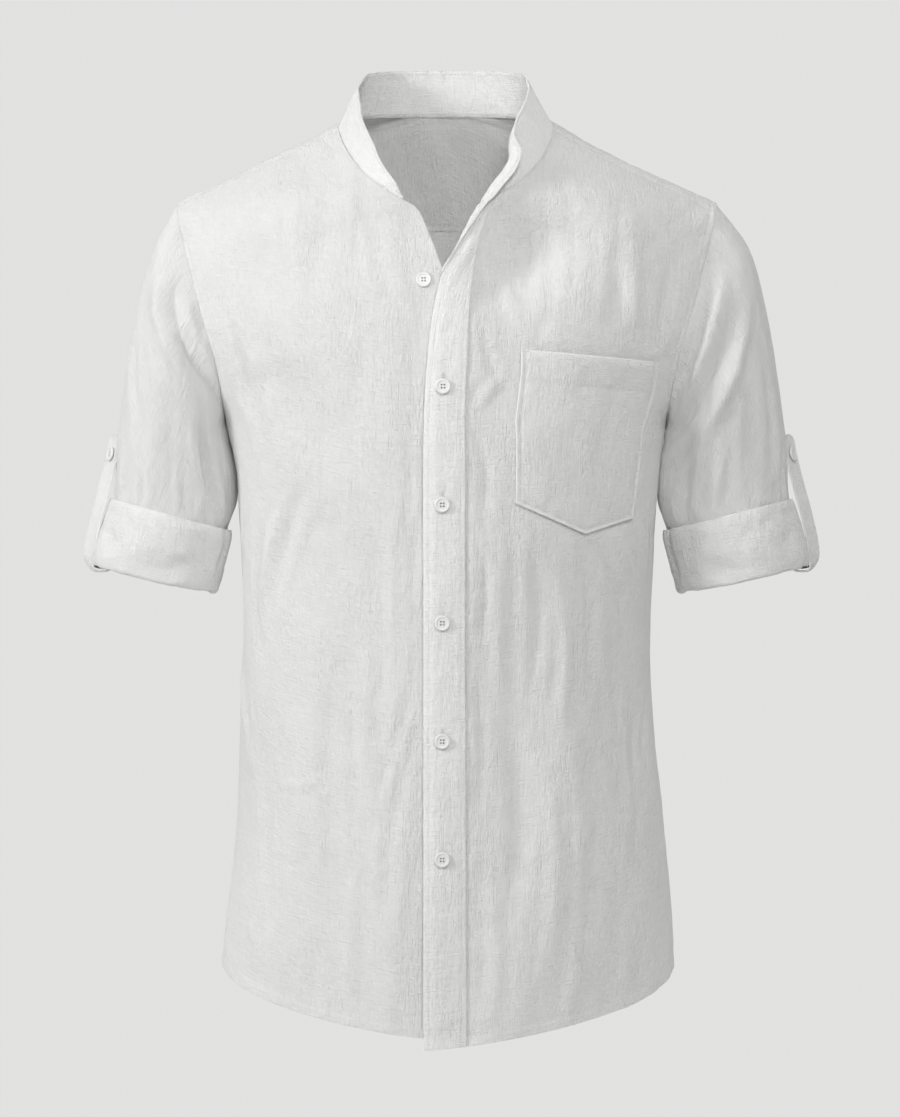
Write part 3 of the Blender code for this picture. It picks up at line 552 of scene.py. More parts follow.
def torso_points(side, place, across, lift=0.0):
    """Points of the folded cloth, lift above it, with the directions that face out there."""
    place, across = np.broadcast_arrays(np.asarray(place, float), np.asarray(across, float))
    base = half_points(side, place, across)
    along = half_points(side, np.minimum(place + NUDGE, LAST_ROW), across)
    along = along - half_points(side, np.maximum(place - NUDGE, 0), across)
    over = half_points(side, place, np.minimum(across + NUDGE, 1.0))
    over = over - half_points(side, place, np.maximum(across - NUDGE, 0.0))
    out = np.cross(over, along)
    out[..., 0] = np.where(base[..., 0] == 0.0, 0.0, out[..., 0])
    out /= np.linalg.norm(out, axis=-1, keepdims=True)
    on_front = place < ROW["neck_slope"]
    lift = np.broadcast_to(lift, place.shape)
    if side == "right":
        dip = ramp(base[..., 0], UNDERLAP_END, UNDERLAP_FLAT)
        lift = lift - on_front * UNDERLAP_DIP * dip
    mirror = np.array((SIDE_SIGN[side], 1.0, 1.0))
    base, out = base * mirror, out * mirror
    x, z = base[..., 0], base[..., 2]
    folds = np.where(on_front, fold_height(FRONT_FOLDS, x, z), fold_height(BACK_FOLDS, x, z))
    calm = np.minimum(1.0, (1.0 - across) / CALM_EDGE)
    return base + out * (lift + calm * folds)[..., None], out


def seen_at(side, x, z, low, high):
    """The row numbers, between low and high, at which the cloth is seen at x (counted outward) and z."""
    x, z = np.broadcast_arrays(np.asarray(x, float), np.asarray(z, float))
    low, high = np.full(x.shape, float(low)), np.full(x.shape, float(high))
    rising = half_points(side, high, across_at(side, high, x))[..., 2] > z
    for _ in range(HALVINGS):
        middle = (low + high) / 2
        below = half_points(side, middle, across_at(side, middle, x))[..., 2] < z
        low = np.where(below == rising, middle, low)
        high = np.where(below == rising, high, middle)
    return low


def front_points(side, x, z, lift=0.0):
    """Points of a front that are seen at x (counted outward) and z from the front."""
    place = seen_at(side, x, z, 0.0, ROW["front_seam"])
    return torso_points(side, place, across_at(side, place, x), lift)


# --- Panels: grids of points with the cloth's own measures ----------------------------------------------

Panel = namedtuple("Panel", "points out across along")  # across and along: distances on the cloth


def measured(points, out):
    """A panel of these points. Distances run from its first column and from its first row."""
    over = np.linalg.norm(np.diff(points, axis=1), axis=2)
    down = np.linalg.norm(np.diff(points, axis=0), axis=2)
    across = np.concatenate((np.zeros((len(points), 1)), np.cumsum(over, axis=1)), axis=1)
    along = np.concatenate((np.zeros((1, points.shape[1])), np.cumsum(down, axis=0)), axis=0)
    return Panel(points, out, across, along)


def spread(length, step=STEP, fine=EDGE_STEP, margin=EDGE_MARGIN):
    """Places from 0 to length, step apart, and closer together within a margin at both ends."""
    margin = min(margin, length / 3)
    edge = np.linspace(0, margin, max(2, round(margin / fine)), endpoint=False)
    count = max(2, round((length - 2 * margin) / step))
    middle = np.linspace(margin, length - margin, count + 1)
    return np.concatenate((edge, middle, length - edge[::-1]))


def spaced_rows(side, first, last):
    """Row numbers from first to last, spaced evenly along the cloth."""
    fine = np.linspace(first, last, ROW_SAMPLES)
    rows = torso_rows(side, fine)
    inner = np.linalg.norm(np.diff(rows[:, :3], axis=0), axis=1)
    outer = np.linalg.norm(np.diff(rows[:, 3:6], axis=0), axis=1)
    run = np.concatenate(([0.0], np.cumsum(np.maximum(inner, outer))))
    return np.interp(spread(run[-1]), run, fine)


def torso_panel(side, first, last, start, width, lift=0.0, end=None):
    """A panel of one half, whose columns are spread over a width. start and end give each row's shares."""
    rows = spaced_rows(side, first, last)[:, None]
    share = spread(width)[None, :] / width
    begin = start(rows) if start else 0.0
    finish = end(rows) if end else 1.0
    across = begin + (finish - begin) * share
    points, out = torso_points(side, rows, across, lift)
    return measured(points, out)


def both_halves(first, last, width):
    """A panel right across the back, from the wearer's right to the left."""
    halves = [torso_panel(side, first, last, None, width) for side in ("right", "left")]
    middle = halves[0].points.shape[1]
    points = np.concatenate((halves[0].points[:, ::-1], halves[1].points), axis=1)
    out = np.concatenate((halves[0].out[:, ::-1], halves[1].out), axis=1)
    panel = measured(points, out)
    between = panel.across[:, middle] - panel.across[:, middle - 1]
    panel.across[:, middle:] -= between[:, None]
    return panel


# --- Relief ---------------------------------------------------------------------------------------------


def noise(across, down, seed):
    """Smooth noise between -1 and 1 over a plane, with a new value at each whole number."""
    lattice = np.random.default_rng(seed).uniform(-1.0, 1.0, (NOISE_SIZE, NOISE_SIZE))
    i, j = np.floor(across).astype(int), np.floor(down).astype(int)
    f, g = ramp(across - i, 0, 1), ramp(down - j, 0, 1)
    i, j, k, m = (number % NOISE_SIZE for number in (i, j, i + 1, j + 1))
    near = lattice[i, j] * (1 - f) + lattice[k, j] * f
    far = lattice[i, m] * (1 - f) + lattice[k, m] * f
    return near * (1 - g) + far * g


def wrinkles(panel, kinds, seed):
    """Small wrinkles, sharp along their tops, in patches."""
    across, along = panel.across, panel.along
    patchy, *patch_size = PATCHES
    total = np.zeros(across.shape)
    for number, kind in enumerate(kinds):
        lean = np.radians(kind.lean)
        over = (across * np.cos(lean) + along * np.sin(lean)) / kind.width
        down = (along * np.cos(lean) - across * np.sin(lean)) / kind.length
        bend = noise(down * 1.7, over * 0.4, seed + 50 + number) * WRINKLE_BEND
        wave = noise(over + bend, down, seed + number)
        tops = (1 - WRINKLE_EDGE) * wave + WRINKLE_EDGE * (1 - 2 * np.abs(wave))
        patches = noise(across / patch_size[0], along / patch_size[1], seed + 20 + number)
        total += kind.height * (1 - patchy + patchy * patches) * tops
    return total


def smooth_path(path):
    """Points along a smooth curve through a crease's own."""
    return smooth_rows(path, np.linspace(0, len(path) - 1, PATH_SAMPLES))


def crease_height(points, creases):
    """How far soft creases push points out. Each is (half width, height, path in space)."""
    total = np.zeros(points.shape[:-1])
    dip, beside, steepness = BESIDE_CREASE
    for half_width, height, path in creases:
        reach = CREASE_REACH * half_width
        close = np.all((points > path.min(0) - reach) & (points < path.max(0) + reach), axis=-1)
        found = points[close]
        if not len(found):
            continue
        best, along = np.full(len(found), np.inf), np.zeros(len(found))
        for i, (start, end) in enumerate(zip(path, path[1:])):
            run = end - start
            part = np.clip((found - start) @ run / (run @ run), 0, 1)
            distance = np.linalg.norm(found - start - part[:, None] * run, axis=1)
            along = np.where(distance < best, (i + part) / (len(path) - 1), along)
            best = np.minimum(distance, best)
        aside = best / half_width
        shape = bell(CREASE_FALL * aside) - dip * bell(steepness * (aside - beside))
        total[close] += height * np.sin(pi * along) ** CREASE_ENDS * shape
    return total


def pucker(distance, along, seed, height=0.35, reach=PUCKER_REACH):
    """Ripples that a line of stitches draws up, dying away from it."""
    ripple = noise(along / PUCKER_LENGTH, distance / PUCKER_CHANGE + 0.5, seed)
    return height * ripple * np.exp(-distance / reach)


def drawn_up(distance, along, seed, height=0.35, still=3):
    """Such ripples beside a seam that two pieces share, which lies still itself."""
    return pucker(distance, along, seed, height) * joined(distance, still)


def groove(distance, depth=0.25, half_width=GROOVE):
    return -depth * bell(distance, half_width)


def stitched(distance, along, seed, depth, height=0.35):
    """The groove and the ripples of a line of stitches."""
    return groove(distance, depth) + pucker(np.abs(distance), along, seed, height)


def double_layer(distance, width, rise=0.35):
    """The step of a hem or band: cloth within the width lies a layer higher."""
    return rise * ramp(distance, width + LAYER_STEP, width - LAYER_STEP)


def folded_edge(distance, width, depth=0.25, rise=0.35, half_width=GROOVE):
    """A double layer and the groove of the stitches that hold it."""
    return groove(distance - width, depth, half_width) + double_layer(distance, width, rise)


def hem(distance, across, seed):
    return pucker(distance, across, seed, 0.5) + folded_edge(distance, HEM)


def from_edges(panel):
    """Distances on the cloth from the first and last column and from the first and last row."""
    across, along = panel.across, panel.along
    return across, across[:, -1:] - across, along, along[-1:] - along


def facing(points, flip):
    """The direction that faces out at each point of a grid."""
    over, down = np.gradient(points, axis=1), np.gradient(points, axis=0)
    out = np.cross(over, down)
    length = np.linalg.norm(out, axis=-1, keepdims=True)
    return out / np.maximum(length, NO_LENGTH) * (-1.0 if flip else 1.0)


def faced(points, flip):
    return measured(points, facing(points, flip))


def line_along(panel, edge, distance, part=(0.0, 1.0)):
    """A line at a distance from an edge of a panel, as points and the directions that face out there."""
    start, end, first, last = from_edges(panel)
    measure = {"start": start, "end": end, "first": first.T, "last": last.T}[edge]
    grid = np.concatenate((panel.points, panel.out), axis=2)
    if edge in ("first", "last"):
        grid = grid.transpose(1, 0, 2)
    if edge in ("end", "last"):
        measure, grid = measure[:, ::-1], grid[:, ::-1]
    last = len(grid) - 1
    rows = slice(int(part[0] * last), int(np.ceil(part[1] * last)) + 1)
    line = np.array([read_at(distance, run, row) for run, row in zip(measure[rows], grid[rows])])
    return line[:, :3], line[:, 3:]


# --- Meshes ---------------------------------------------------------------------------------------------


def add_piece(name, mesh, material):
    mesh.materials.append(material)
    mesh.shade_smooth()
    piece = bpy.data.objects.new(name, mesh)
    bpy.context.scene.collection.objects.link(piece)
    return piece


def grid_faces(rows, columns, flip):
    at = np.arange(rows * columns).reshape(rows, columns)
    corners = np.stack((at[:-1, :-1], at[:-1, 1:], at[1:, 1:], at[1:, :-1]), axis=-1).reshape(-1, 4)
    return corners[:, ::-1] if flip else corners


def own_measures(panel):
    return panel.across, panel.along


def cloth_piece(node, panel, flip, height, thickness=CLOTH, halves=False, weave=own_measures):
    """A shell of cloth whose outer face is the panel, pushed out by a height, and returns it by its name.

    weave gives the distances across and along the cloth that its weave follows. A panel in two halves has its
    middle line twice. They are joined where they meet, and open elsewhere.
    """
    panel = relieved(panel, flip, height, halves)
    rows, columns = panel.points.shape[:2]
    mesh = bpy.data.meshes.new(f"cloth_{node}")
    points = panel.points.reshape(-1, 3) * MM
    faces = grid_faces(rows, columns, flip)
    if halves:
        faces = faces[np.arange(len(faces)) % (columns - 1) != columns // 2 - 1]
    mesh.from_pydata(points.tolist(), [], faces.tolist())
    cloth = mesh.attributes.new("cloth", "FLOAT_VECTOR", "POINT")
    number = np.full(panel.across.shape, len(bpy.data.meshes) * CLOTH_APART)
    measures = np.stack((*weave(panel), number), axis=-1) * MM
    cloth.data.foreach_set("vector", measures.ravel())
    if halves:
        shape = bmesh.new()
        shape.from_mesh(mesh)
        bmesh.ops.remove_doubles(shape, verts=shape.verts, dist=JOIN_WITHIN * MM)
        shape.to_mesh(mesh)
        shape.free()
    piece = add_piece(f"cloth_{node}", mesh, linen)
    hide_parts(node)
    wall = piece.modifiers.new("Cloth", "SOLIDIFY")
    wall.thickness = thickness * MM
    wall.offset = -1.0
    edges = piece.modifiers.new("Soft edges", "BEVEL")
    edges.limit_method = "ANGLE"
    edges.angle_limit = np.radians(EDGE_ANGLE)
    edges.width = thickness * EDGE_ROUNDING * MM
    edges.segments = 2
    return {node: panel}


def relieved(panel, flip, height, halves=False):
    """The panel pushed out by a height, with its new facing directions."""
    points = panel.points + panel.out * height[..., None]
    if not halves:
        return panel._replace(points=points, out=facing(points, flip))
    middle = points.shape[1] // 2
    out = np.concatenate([facing(part, flip) for part in (points[:, :middle], points[:, middle:])], axis=1)
    return panel._replace(points=points, out=out)


# --- The torso's pieces ---------------------------------------------------------------------------------

HEM = 8.0  # width of the hem
ARMHOLE_STITCH = 4.5  # from a seam or edge to its line of stitches, here and below
SHOULDER_STITCH = 7.0
YOKE_STITCHES = (1.5, 6.0)
PLACKET_STITCH = 3.8
BUTTON_STAND = 27.0  # width of the right front's turned-in edge
PLACKET_LAP = 5.0  # how far the left front runs on under the placket
ARMHOLE_FOOT = (-250, -230)  # z between which the armhole's folded edge fades in
ARMHOLE_SHOWS = {"right": 0.1, "left": 1.0}  # how much that edge shows on the fronts
FRONT_CREASE_GAIN = 1.5
UNDER_COLLAR = 0.007  # share of a row that the fronts run on behind the collar
RIM_LIFT, RIM_REACH = 8.0, 20.0  # how far forward the rolled edge stands, and how far it fades beside it


def placket_seam(rows):
    return np.interp(rows, [ROW[name] for name in PLACKET_SEAM], list(PLACKET_SEAM.values()))


def torso_paths(creases, side=None):
    """Creases with their paths laid on the front (of one side) or on the back."""
    found = []
    for half_width, height, *path in creases:
        x, z = smooth_path(path).T
        if side:
            points, _ = front_points(side, np.abs(x), z)
        else:
            half = "left" if x.mean() > 0 else "right"
            place = seen_at(half, np.abs(x), z, ROW["neck_centre"], LAST_ROW)
            points, _ = torso_points(half, place, across_at(half, place, np.abs(x)))
            points[:, 0] = x
        found.append((half_width, height, points))
    return found


def outside_pocket(points):
    """0 under the pocket, rising to 1 a little outside its edges, as seen from the front."""
    corners = np.array([POCKET[name] for name in POCKET_ROUND])
    flat = points[..., [0, 2]]
    inside_by = np.full(flat.shape[:-1], np.inf)
    for start, end in zip(corners, np.roll(corners, -1, axis=0)):
        run = (end - start) / np.linalg.norm(end - start)
        reach = flat - start
        inside_by = np.minimum(inside_by, reach[..., 1] * -run[0] + reach[..., 0] * run[1])
    return ramp(-inside_by, 1, 10)


def joined(distance, reach=9.0):
    """0 at a seam that two pieces share, rising to 1 away from it."""
    return ramp(distance, 0, reach)


def beside_arm(z):
    return ramp(z, *ARMHOLE_FOOT)


def front_relief(panel, side):
    start, end, first, last = from_edges(panel)
    x, z = np.abs(panel.points[..., 0]), panel.points[..., 2]
    height = wrinkles(panel, BODY_WRINKLES, 3 if side == "right" else 7)
    height += FRONT_CREASE_GAIN * crease_height(panel.points, torso_paths(FRONT_CREASES[side], side))
    calm = joined(end) * joined(last)
    if side == "left":
        height += fold_height((COLLAR_HOLLOW,), x, z)
        calm = calm * joined(start - 4, 10) * outside_pocket(panel.points)
    else:
        calm = calm * np.maximum(ramp(x, 17, 26), ramp(z, -135, -115))
    height *= calm
    height += drawn_up(end, panel.along, 11) + drawn_up(last, panel.across, 13, 0.3)
    height += beside_arm(z) * ARMHOLE_SHOWS[side] * folded_edge(end, ARMHOLE_STITCH, 0.45, 0.4)
    height += groove(last - SHOULDER_STITCH, 0.4) * joined(start, 12)
    height += hem(first, panel.across, 12)
    if side == "right":
        stand = stitched(start - BUTTON_STAND, panel.along, 14, 0.3, 0.3)
        height += ramp(z, -200, -140) * (stand + double_layer(start, BUTTON_STAND, 0.3))
    else:
        seam = start - PLACKET_LAP
        pulled = pucker(np.abs(seam), panel.along, 15, 0.9, 11) * joined(seam, 3)
        height += ramp(z, -76, -84) * (pulled + groove(seam - GROOVE, 0.9))
    return height


def rim_lifted(points):
    """The points with the cloth beside the open neck's rolled edge brought forward, on the wearer's left."""
    x, z = points[..., 0], points[..., 2]
    edges = np.array([row[:3] for row in list(TORSO_ROWS.values())[ROW["v_bottom"] : ROW["neck_side"]]])
    aside = np.maximum(x - np.interp(z, edges[:, 2], edges[:, 0]), 0)
    lift = RIM_LIFT * ramp(z, -155, -110) * ramp(z, -58, -84) * ramp(x, -14, -6) * bell(aside, RIM_REACH)
    return points - lift[..., None] * (0.0, 1.0, 0.0)


def from_centre(panel):
    """A front's measures with the distance across it counted from the shirt's middle: its warp is upright."""
    outward = np.sign(panel.points[0, -1, 0])
    return panel.across + outward * panel.points[:, :1, 0], panel.along


def from_middle_line(panel):
    """A panel's measures with the distance across it counted from its middle line."""
    return panel.across - panel.across[:, panel.across.shape[1] // 2, None], panel.along


def make_fronts():
    def collar_lap(rows):
        return UNDER_COLLAR * ramp(rows, ROW["collar_end"], ROW["neck_front"])

    def underlap(rows):
        edge = np.maximum(torso_rows("right", rows)[..., 0], UNDERLAP_EDGE)
        edge = edge + V_EASE * bell(rows - ROW["v_bottom"], V_REACH)
        return across_at("right", rows, edge) - collar_lap(rows)

    def beside_placket(rows):
        edge = np.where(rows <= ROW["collar_end"], placket_seam(rows) - PLACKET_LAP, 0.0)
        edge = np.maximum(torso_rows("left", rows)[..., 0], edge)
        return across_at("left", rows, edge) - collar_lap(rows)

    panels = {}
    for side, first, inner in (("right", RIGHT_HEM_RISE, underlap), ("left", 0, beside_placket)):
        panel = torso_panel(side, first, ROW["front_seam"], inner, FRONT_WIDTH)
        if side == "left":
            panel = panel._replace(points=rim_lifted(panel.points))
        relief = front_relief(panel, side)
        panels |= cloth_piece(f"front_{side}", panel, side == "right", relief, weave=from_centre)
    return panels


def make_placket():
    def free_edge(rows):
        return across_at("left", rows, torso_rows("left", rows)[..., 0] + flap_set_back(rows))

    def sewn_edge(rows):
        return across_at("left", rows, placket_seam(rows))

    panel = torso_panel("left", 0, ROW["collar_end"], free_edge, PLACKET_WIDTH, end=sewn_edge)
    start, end, _, last = from_edges(panel)
    lift = PLACKET_LIFT - 1.9 * ramp(start, 10, 0) * ramp(last, 0, 40)
    lift -= 0.3 * ramp(end, 5, 0) + 1.2 * ramp(last, 25, 0)
    height = wrinkles(panel, BAND_WRINKLES, 21)
    for seam in (start - PLACKET_STITCH, end - PLACKET_STITCH):
        height += stitched(seam, panel.along, 22, 0.3)
    height *= joined(end, 4)
    panel = panel._replace(points=rim_lifted(panel.points))
    return cloth_piece("placket", panel, False, lift + height, BAND_CLOTH)


def back_relief(panel):
    start, end, first, last = from_edges(panel)
    sides = np.minimum(start, end)
    height = wrinkles(panel, BODY_WRINKLES, 31)
    height += crease_height(panel.points, torso_paths(BACK_CREASES))
    height *= joined(sides) * joined(first)
    height += drawn_up(sides, panel.along, 32) + drawn_up(first, panel.across, 33, 0.3)
    height += groove(sides - ARMHOLE_STITCH) * beside_arm(panel.points[..., 2])
    return height + hem(last, panel.across, 34)


def yoke_relief(panel):
    start, end, first, last = from_edges(panel)
    sides, seams = np.minimum(start, end), np.minimum(first, last)
    height = wrinkles(panel, BODY_WRINKLES, 41)
    height += crease_height(panel.points, torso_paths(YOKE_CREASES))
    height *= joined(sides) * joined(seams)
    height += drawn_up(sides, panel.along, 42) + drawn_up(seams, panel.across, 43, 0.3, 2)
    height += groove(sides - ARMHOLE_STITCH) + double_layer(end, ARMHOLE_STITCH, 0.4)
    height += double_layer(seams, YOKE_STITCHES[1] + 1, 0.3) * joined(seams, 1.5)
    return height + groove(seams - YOKE_STITCHES[0]) + groove(seams - YOKE_STITCHES[1])


def make_back():
    panel = both_halves(ROW["back_seam"], LAST_ROW, BACK_WIDTH)
    return cloth_piece("back", panel, False, back_relief(panel), halves=True, weave=from_middle_line)


def make_yoke():
    panel = both_halves(ROW["front_seam"], ROW["back_seam"], YOKE_WIDTH)
    return cloth_piece("yoke", panel, False, yoke_relief(panel), halves=True, weave=from_middle_line)


POCKET_EDGE = 1.2  # thickness of the pocket's turned-in edges
POCKET_SEWN = 2.0  # the pocket's face above the left front at its sewn edges
POCKET_SWELL = 1.0  # how much its upper part stands off more
POCKET_HEM = 23.5  # width of the hem at its top
POCKET_STITCH = 3.2
POCKET_GROOVE = 3.4  # just inside the stitches


def make_pocket():
    corner = {name: np.array(place) for name, place in POCKET.items()}
    top, bottom = corner["top_outer"] - corner["top_inner"], corner["bottom_outer"] - corner["bottom_inner"]
    to_tip = corner["tip"] - corner["bottom_inner"]
    tip_share = to_tip[0] / bottom[0]
    over = spread(POCKET_WIDTH)[None, :, None] / POCKET_WIDTH
    down = spread(POCKET_LENGTH)[:, None, None] / POCKET_LENGTH
    upper = corner["top_inner"] + top * over
    before = corner["bottom_inner"] + to_tip * over / tip_share
    after = corner["tip"] + (corner["bottom_outer"] - corner["tip"]) * (over - tip_share) / (1 - tip_share)
    lower = np.where(over < tip_share, before, after)
    x, z = np.moveaxis(upper + (lower - upper) * down, -1, 0)
    panel = measured(*front_points("left", x, z))
    start, end, first, last = from_edges(panel)
    sewn = np.minimum(np.minimum(start, end), last)
    lift = POCKET_SEWN + (POCKET_LIFT - POCKET_SEWN) * ramp(sewn, 0, 14)
    lift += POCKET_SWELL * ramp(first, 20, 0) * ramp(sewn, 0, 30)
    height = 1.7 * wrinkles(panel, BODY_WRINKLES[1:], 51)
    height += 0.8 * crease_height(panel.points, torso_paths(FRONT_CREASES["left"], "left"))
    height *= joined(sewn, 12)
    height += groove(sewn - POCKET_GROOVE, 0.7, 1.0) + drawn_up(sewn, start + first, 52, 0.8)
    height += 0.8 * bell(sewn, 1.5) + folded_edge(first, POCKET_HEM, 1.0, 0.6, 1.3)
    return cloth_piece("pocket", panel, True, lift + height, thickness=POCKET_EDGE)


# --- Collar ---------------------------------------------------------------------------------------------

COLLAR_STITCH = 2.8
COLLAR_SEAM = 4.5  # from the neckline to its line of stitches
COLLAR_TUCK = 0.07  # share of its height that the collar runs on below the seam, inside the shirt
COLLAR_STEP = 2.2
COLLAR_DIP = 13.0  # from the free edge to the uneven dip that runs along it
RISE_PARTS = np.linspace(-COLLAR_TUCK, 1, 16)
ROLL_PARTS = np.linspace(0, 1, 9)[1:]


def flap_set_back(place):
    """How far the open neck's edge is set back at these rows, on the wearer's left."""
    before = ROW["v_bottom"] - 1
    set_back = (0.0, *(row[3] for row in FLAP_ROWS.values()), 0.0)
    return np.interp(place, range(before, before + len(set_back)), set_back)


def collar_half(side, share):
    """The collar's outer face over half the neckline, each row from the seam to the free edge."""
    column = COLLAR_COLUMNS.index(f"lean_{side}")
    table = [row[column : column + 3] for row in COLLAR_ROWS.values()]
    if side == "left":
        table = [row[:3] for row in FLAP_ROWS.values()] + table
    last = ROW["neck_centre"]
    first = last - len(table) + 1
    place = first + (last - first) * share
    seam = torso_rows(side, place)[:, :3]
    run = torso_rows(side, np.minimum(place + NECK_NUDGE, last))
    run = run - torso_rows(side, np.maximum(place - NECK_NUDGE, first))
    inward = np.stack((-run[:, 1], run[:, 0], 0 * run[:, 0]), axis=-1)
    inward /= np.linalg.norm(inward, axis=-1, keepdims=True)
    inward[share == 1.0] = (0.0, -1.0, 0.0)
    lean, height, roll = np.moveaxis(smooth_rows(table, share * (len(table) - 1))[..., None], 1, 0)
    radius = ROLL_RADIUS
    if side == "left":
        seam[:, 0] += flap_set_back(place)
        radius = np.interp(place, range(first, ROW["collar_end"] + 1), FLAP_RADII)[:, None]
    else:
        height = height * (COLLAR_START + (1 - COLLAR_START) * ramp(share, 0, COLLAR_ROUNDING))[:, None]
    rise = inward * lean + np.array((0.0, 0.0, 1.0)) * height
    along = rise / np.linalg.norm(rise, axis=-1, keepdims=True)
    outward = ROLL_TOWARD - along * (along @ ROLL_TOWARD)[:, None]
    outward /= np.linalg.norm(outward, axis=-1, keepdims=True)
    section = [seam + rise * part for part in RISE_PARTS]
    for part in ROLL_PARTS:
        turn = np.minimum(roll * part / radius, ROLL_LIMIT)
        hang = np.maximum(roll * part - radius * ROLL_LIMIT, 0.0) + part * LEAST_ROLL
        curl = along * np.sin(turn) + outward * (1 - np.cos(turn))
        ahead = along * np.cos(turn) + outward * np.sin(turn)
        section.append(seam + rise + curl * radius + ahead * hang)
    return np.stack(section, axis=1) * (SIDE_SIGN[side], 1.0, 1.0)


def crosswise(panel):
    return panel.along, panel.across


def make_collar():
    share = spread(COLLAR_LENGTH, step=COLLAR_STEP) / COLLAR_LENGTH
    right, left = (collar_half(side, share) for side in ("right", "left"))
    points = rim_lifted(np.concatenate((right, left[-2::-1]), axis=0))
    panel = faced(points, False)
    start, end, first, last = from_edges(panel)
    height = wrinkles(panel, BAND_WRINKLES, 61)
    for seam, ripple in ((start - COLLAR_STITCH, 0.5), (end - COLLAR_STITCH, 1.1)):
        height += stitched(seam, panel.along, 62, 0.5, ripple)
    height += groove(end - COLLAR_DIP, 0.8, 3) * (0.5 + 0.5 * noise(panel.along / 34, 0 * end, 63))
    height += groove(first - COLLAR_SEAM, 0.35)
    height *= joined(start, 4) * joined(last, 30)
    return cloth_piece("collar", panel, False, height, BAND_CLOTH, weave=crosswise)


# --- Sleeves, cuffs and tabs ----------------------------------------------------------------------------

ARMHOLE_TUCK = {"right": 0.05, "left": 0.4}  # how far the sleeve sinks in at the seam
UNDER_ARMHOLE = {"right": 0.02, "left": 0.0}  # how far it runs on under the front there, in rings
CUFF_TOP = 1 + list(SLEEVE_RINGS).index("cuff_top")
SLEEVE_LEVELS = 96
SLEEVE_SEED = {"right": 71, "left": 75}
# The turned-up end as one layer: how far outside the sleeve and how far below the cuff's top edge.
CUFF_PATH = (
    (1.9, 0), (3.1, 8), (3.5, 24), (3.2, 40), (2.2, 51.5), (-1.0, 53.4), (-3.4, 50.5), (-3.5, 44), (-3.4, 37),
)  # fmt: skip
CUFF_STEPS = 46
CUFF_SEAM = 21.0  # the sleeve's seam, this far round from the inner side
CUFF_SEAM_RIDGE = (12.0, 6.0, 1.8)  # place, half width and height of the cloth that is raised beside it
CUFF_CLOTH = 1.2  # also the tab's
TAB_CLOSER = 2.0  # how much nearer to the cuff the tab hangs than its solid
TAB_TURN = 26.0  # degrees that the hanging tab has turned its face to the front
TAB_TURN_END = (120.0, 100.0)  # how far down from its free end it is flat, and fully turned
TAB_STEPS, TAB_COLUMNS = 96, 15
TAB_ROUNDED = 9.0  # length of the rounding at its free end
TAB_END_POWERS = (2.4, 0.45)  # how full that rounding is
TAB_TIP = 0.04  # keeps its first points apart
TAB_STITCH = 2.6


def armhole_loop(side):
    """Points round the armhole line, from under the arm up the front, over the top and down the back."""
    ends = [ROW[name] for name in ("front_underarm", "ridge", "back_underarm")]
    loop = []
    for first, last in zip(ends, ends[1:]):
        line = torso_rows(side, np.linspace(first, last, ARMHOLE_SAMPLES))[:, 3:6]
        run = run_along(line)
        loop.append(read_at(np.linspace(0.0, run[-1], SLEEVE_COUNT // 2 + 1)[:-1], run, line))
    loop = np.concatenate(loop)
    tuck = loop.mean(axis=0) - loop
    tuck *= ARMHOLE_TUCK[side] / np.linalg.norm(tuck, axis=1, keepdims=True)
    return np.concatenate((loop + tuck, loop[:1] + tuck[:1]))


def sleeve_ring(side, row, grow):
    inner_x, inner_z, outer_x, outer_z, middle, depth = row
    inner_reach, outer_reach = SLEEVE_REACH[side]
    inner = np.array((inner_x + inner_reach, middle, inner_z))
    outer = np.array((outer_x + outer_reach, middle, outer_z))
    centre, half = (inner + outer) / 2, (outer - inner) / 2
    half = half * (1 + grow / np.linalg.norm(half))
    turn = np.linspace(0, 2 * pi, SLEEVE_COUNT + 1)[:, None]
    return centre - half * np.cos(turn) + np.array((0.0, -(depth + grow), 0.0)) * np.sin(turn)


def sleeve_rings(side, grow=0.0):
    """The sleeve's rings from the armhole to the turned-up end, first and last point of each alike."""
    rings = [armhole_loop(side)]
    rings += [sleeve_ring(side, row, grow) for row in SLEEVE_RINGS.values()]
    return np.array(rings) * (SIDE_SIGN[side], 1.0, 1.0)


def sleeve_paths(side, creases):
    rings, found = sleeve_rings(side), []
    for half_width, height, *path in creases:
        degrees, level = smooth_path(path).T
        lines = smooth_rows(rings, level)
        at = degrees / 360 * SLEEVE_COUNT
        i = at.astype(int)
        k, f = np.arange(len(at)), (at - i)[:, None]
        found.append((half_width, height, lines[k, i] * (1 - f) + lines[k, i + 1] * f))
    return found


def make_sleeve(side):
    levels = np.linspace(-UNDER_ARMHOLE[side], CUFF_TOP + SLEEVE_IN_CUFF / CUFF_HEIGHT, SLEEVE_LEVELS)
    points = smooth_rows(sleeve_rings(side), levels)
    flip = side == "left"
    panel = faced(points, flip)
    start, end, first, _ = from_edges(panel)
    level = levels[:, None] + 0 * start
    height = wrinkles(panel, SLEEVE_WRINKLES, SLEEVE_SEED[side])
    creases = sleeve_paths(side, SLEEVE_CREASES[side] + HIDDEN_SLEEVE_CREASES)
    height += crease_height(panel.points, creases)
    height *= joined(first, 12) * ramp(level, CUFF_TOP + 0.1, CUFF_TOP - 0.25)
    height *= joined(np.minimum(start, end), 8)
    gathers = ramp(level, CUFF_TOP - 1.2, CUFF_TOP - 0.2) * ramp(level, CUFF_TOP + 0.05, CUFF_TOP - 0.15)
    height += gathers * noise(panel.across / 8, panel.along / 40, 73)
    height += drawn_up(first, panel.across, 74, 0.5)
    return cloth_piece(f"sleeve_{side}", panel, flip, height)


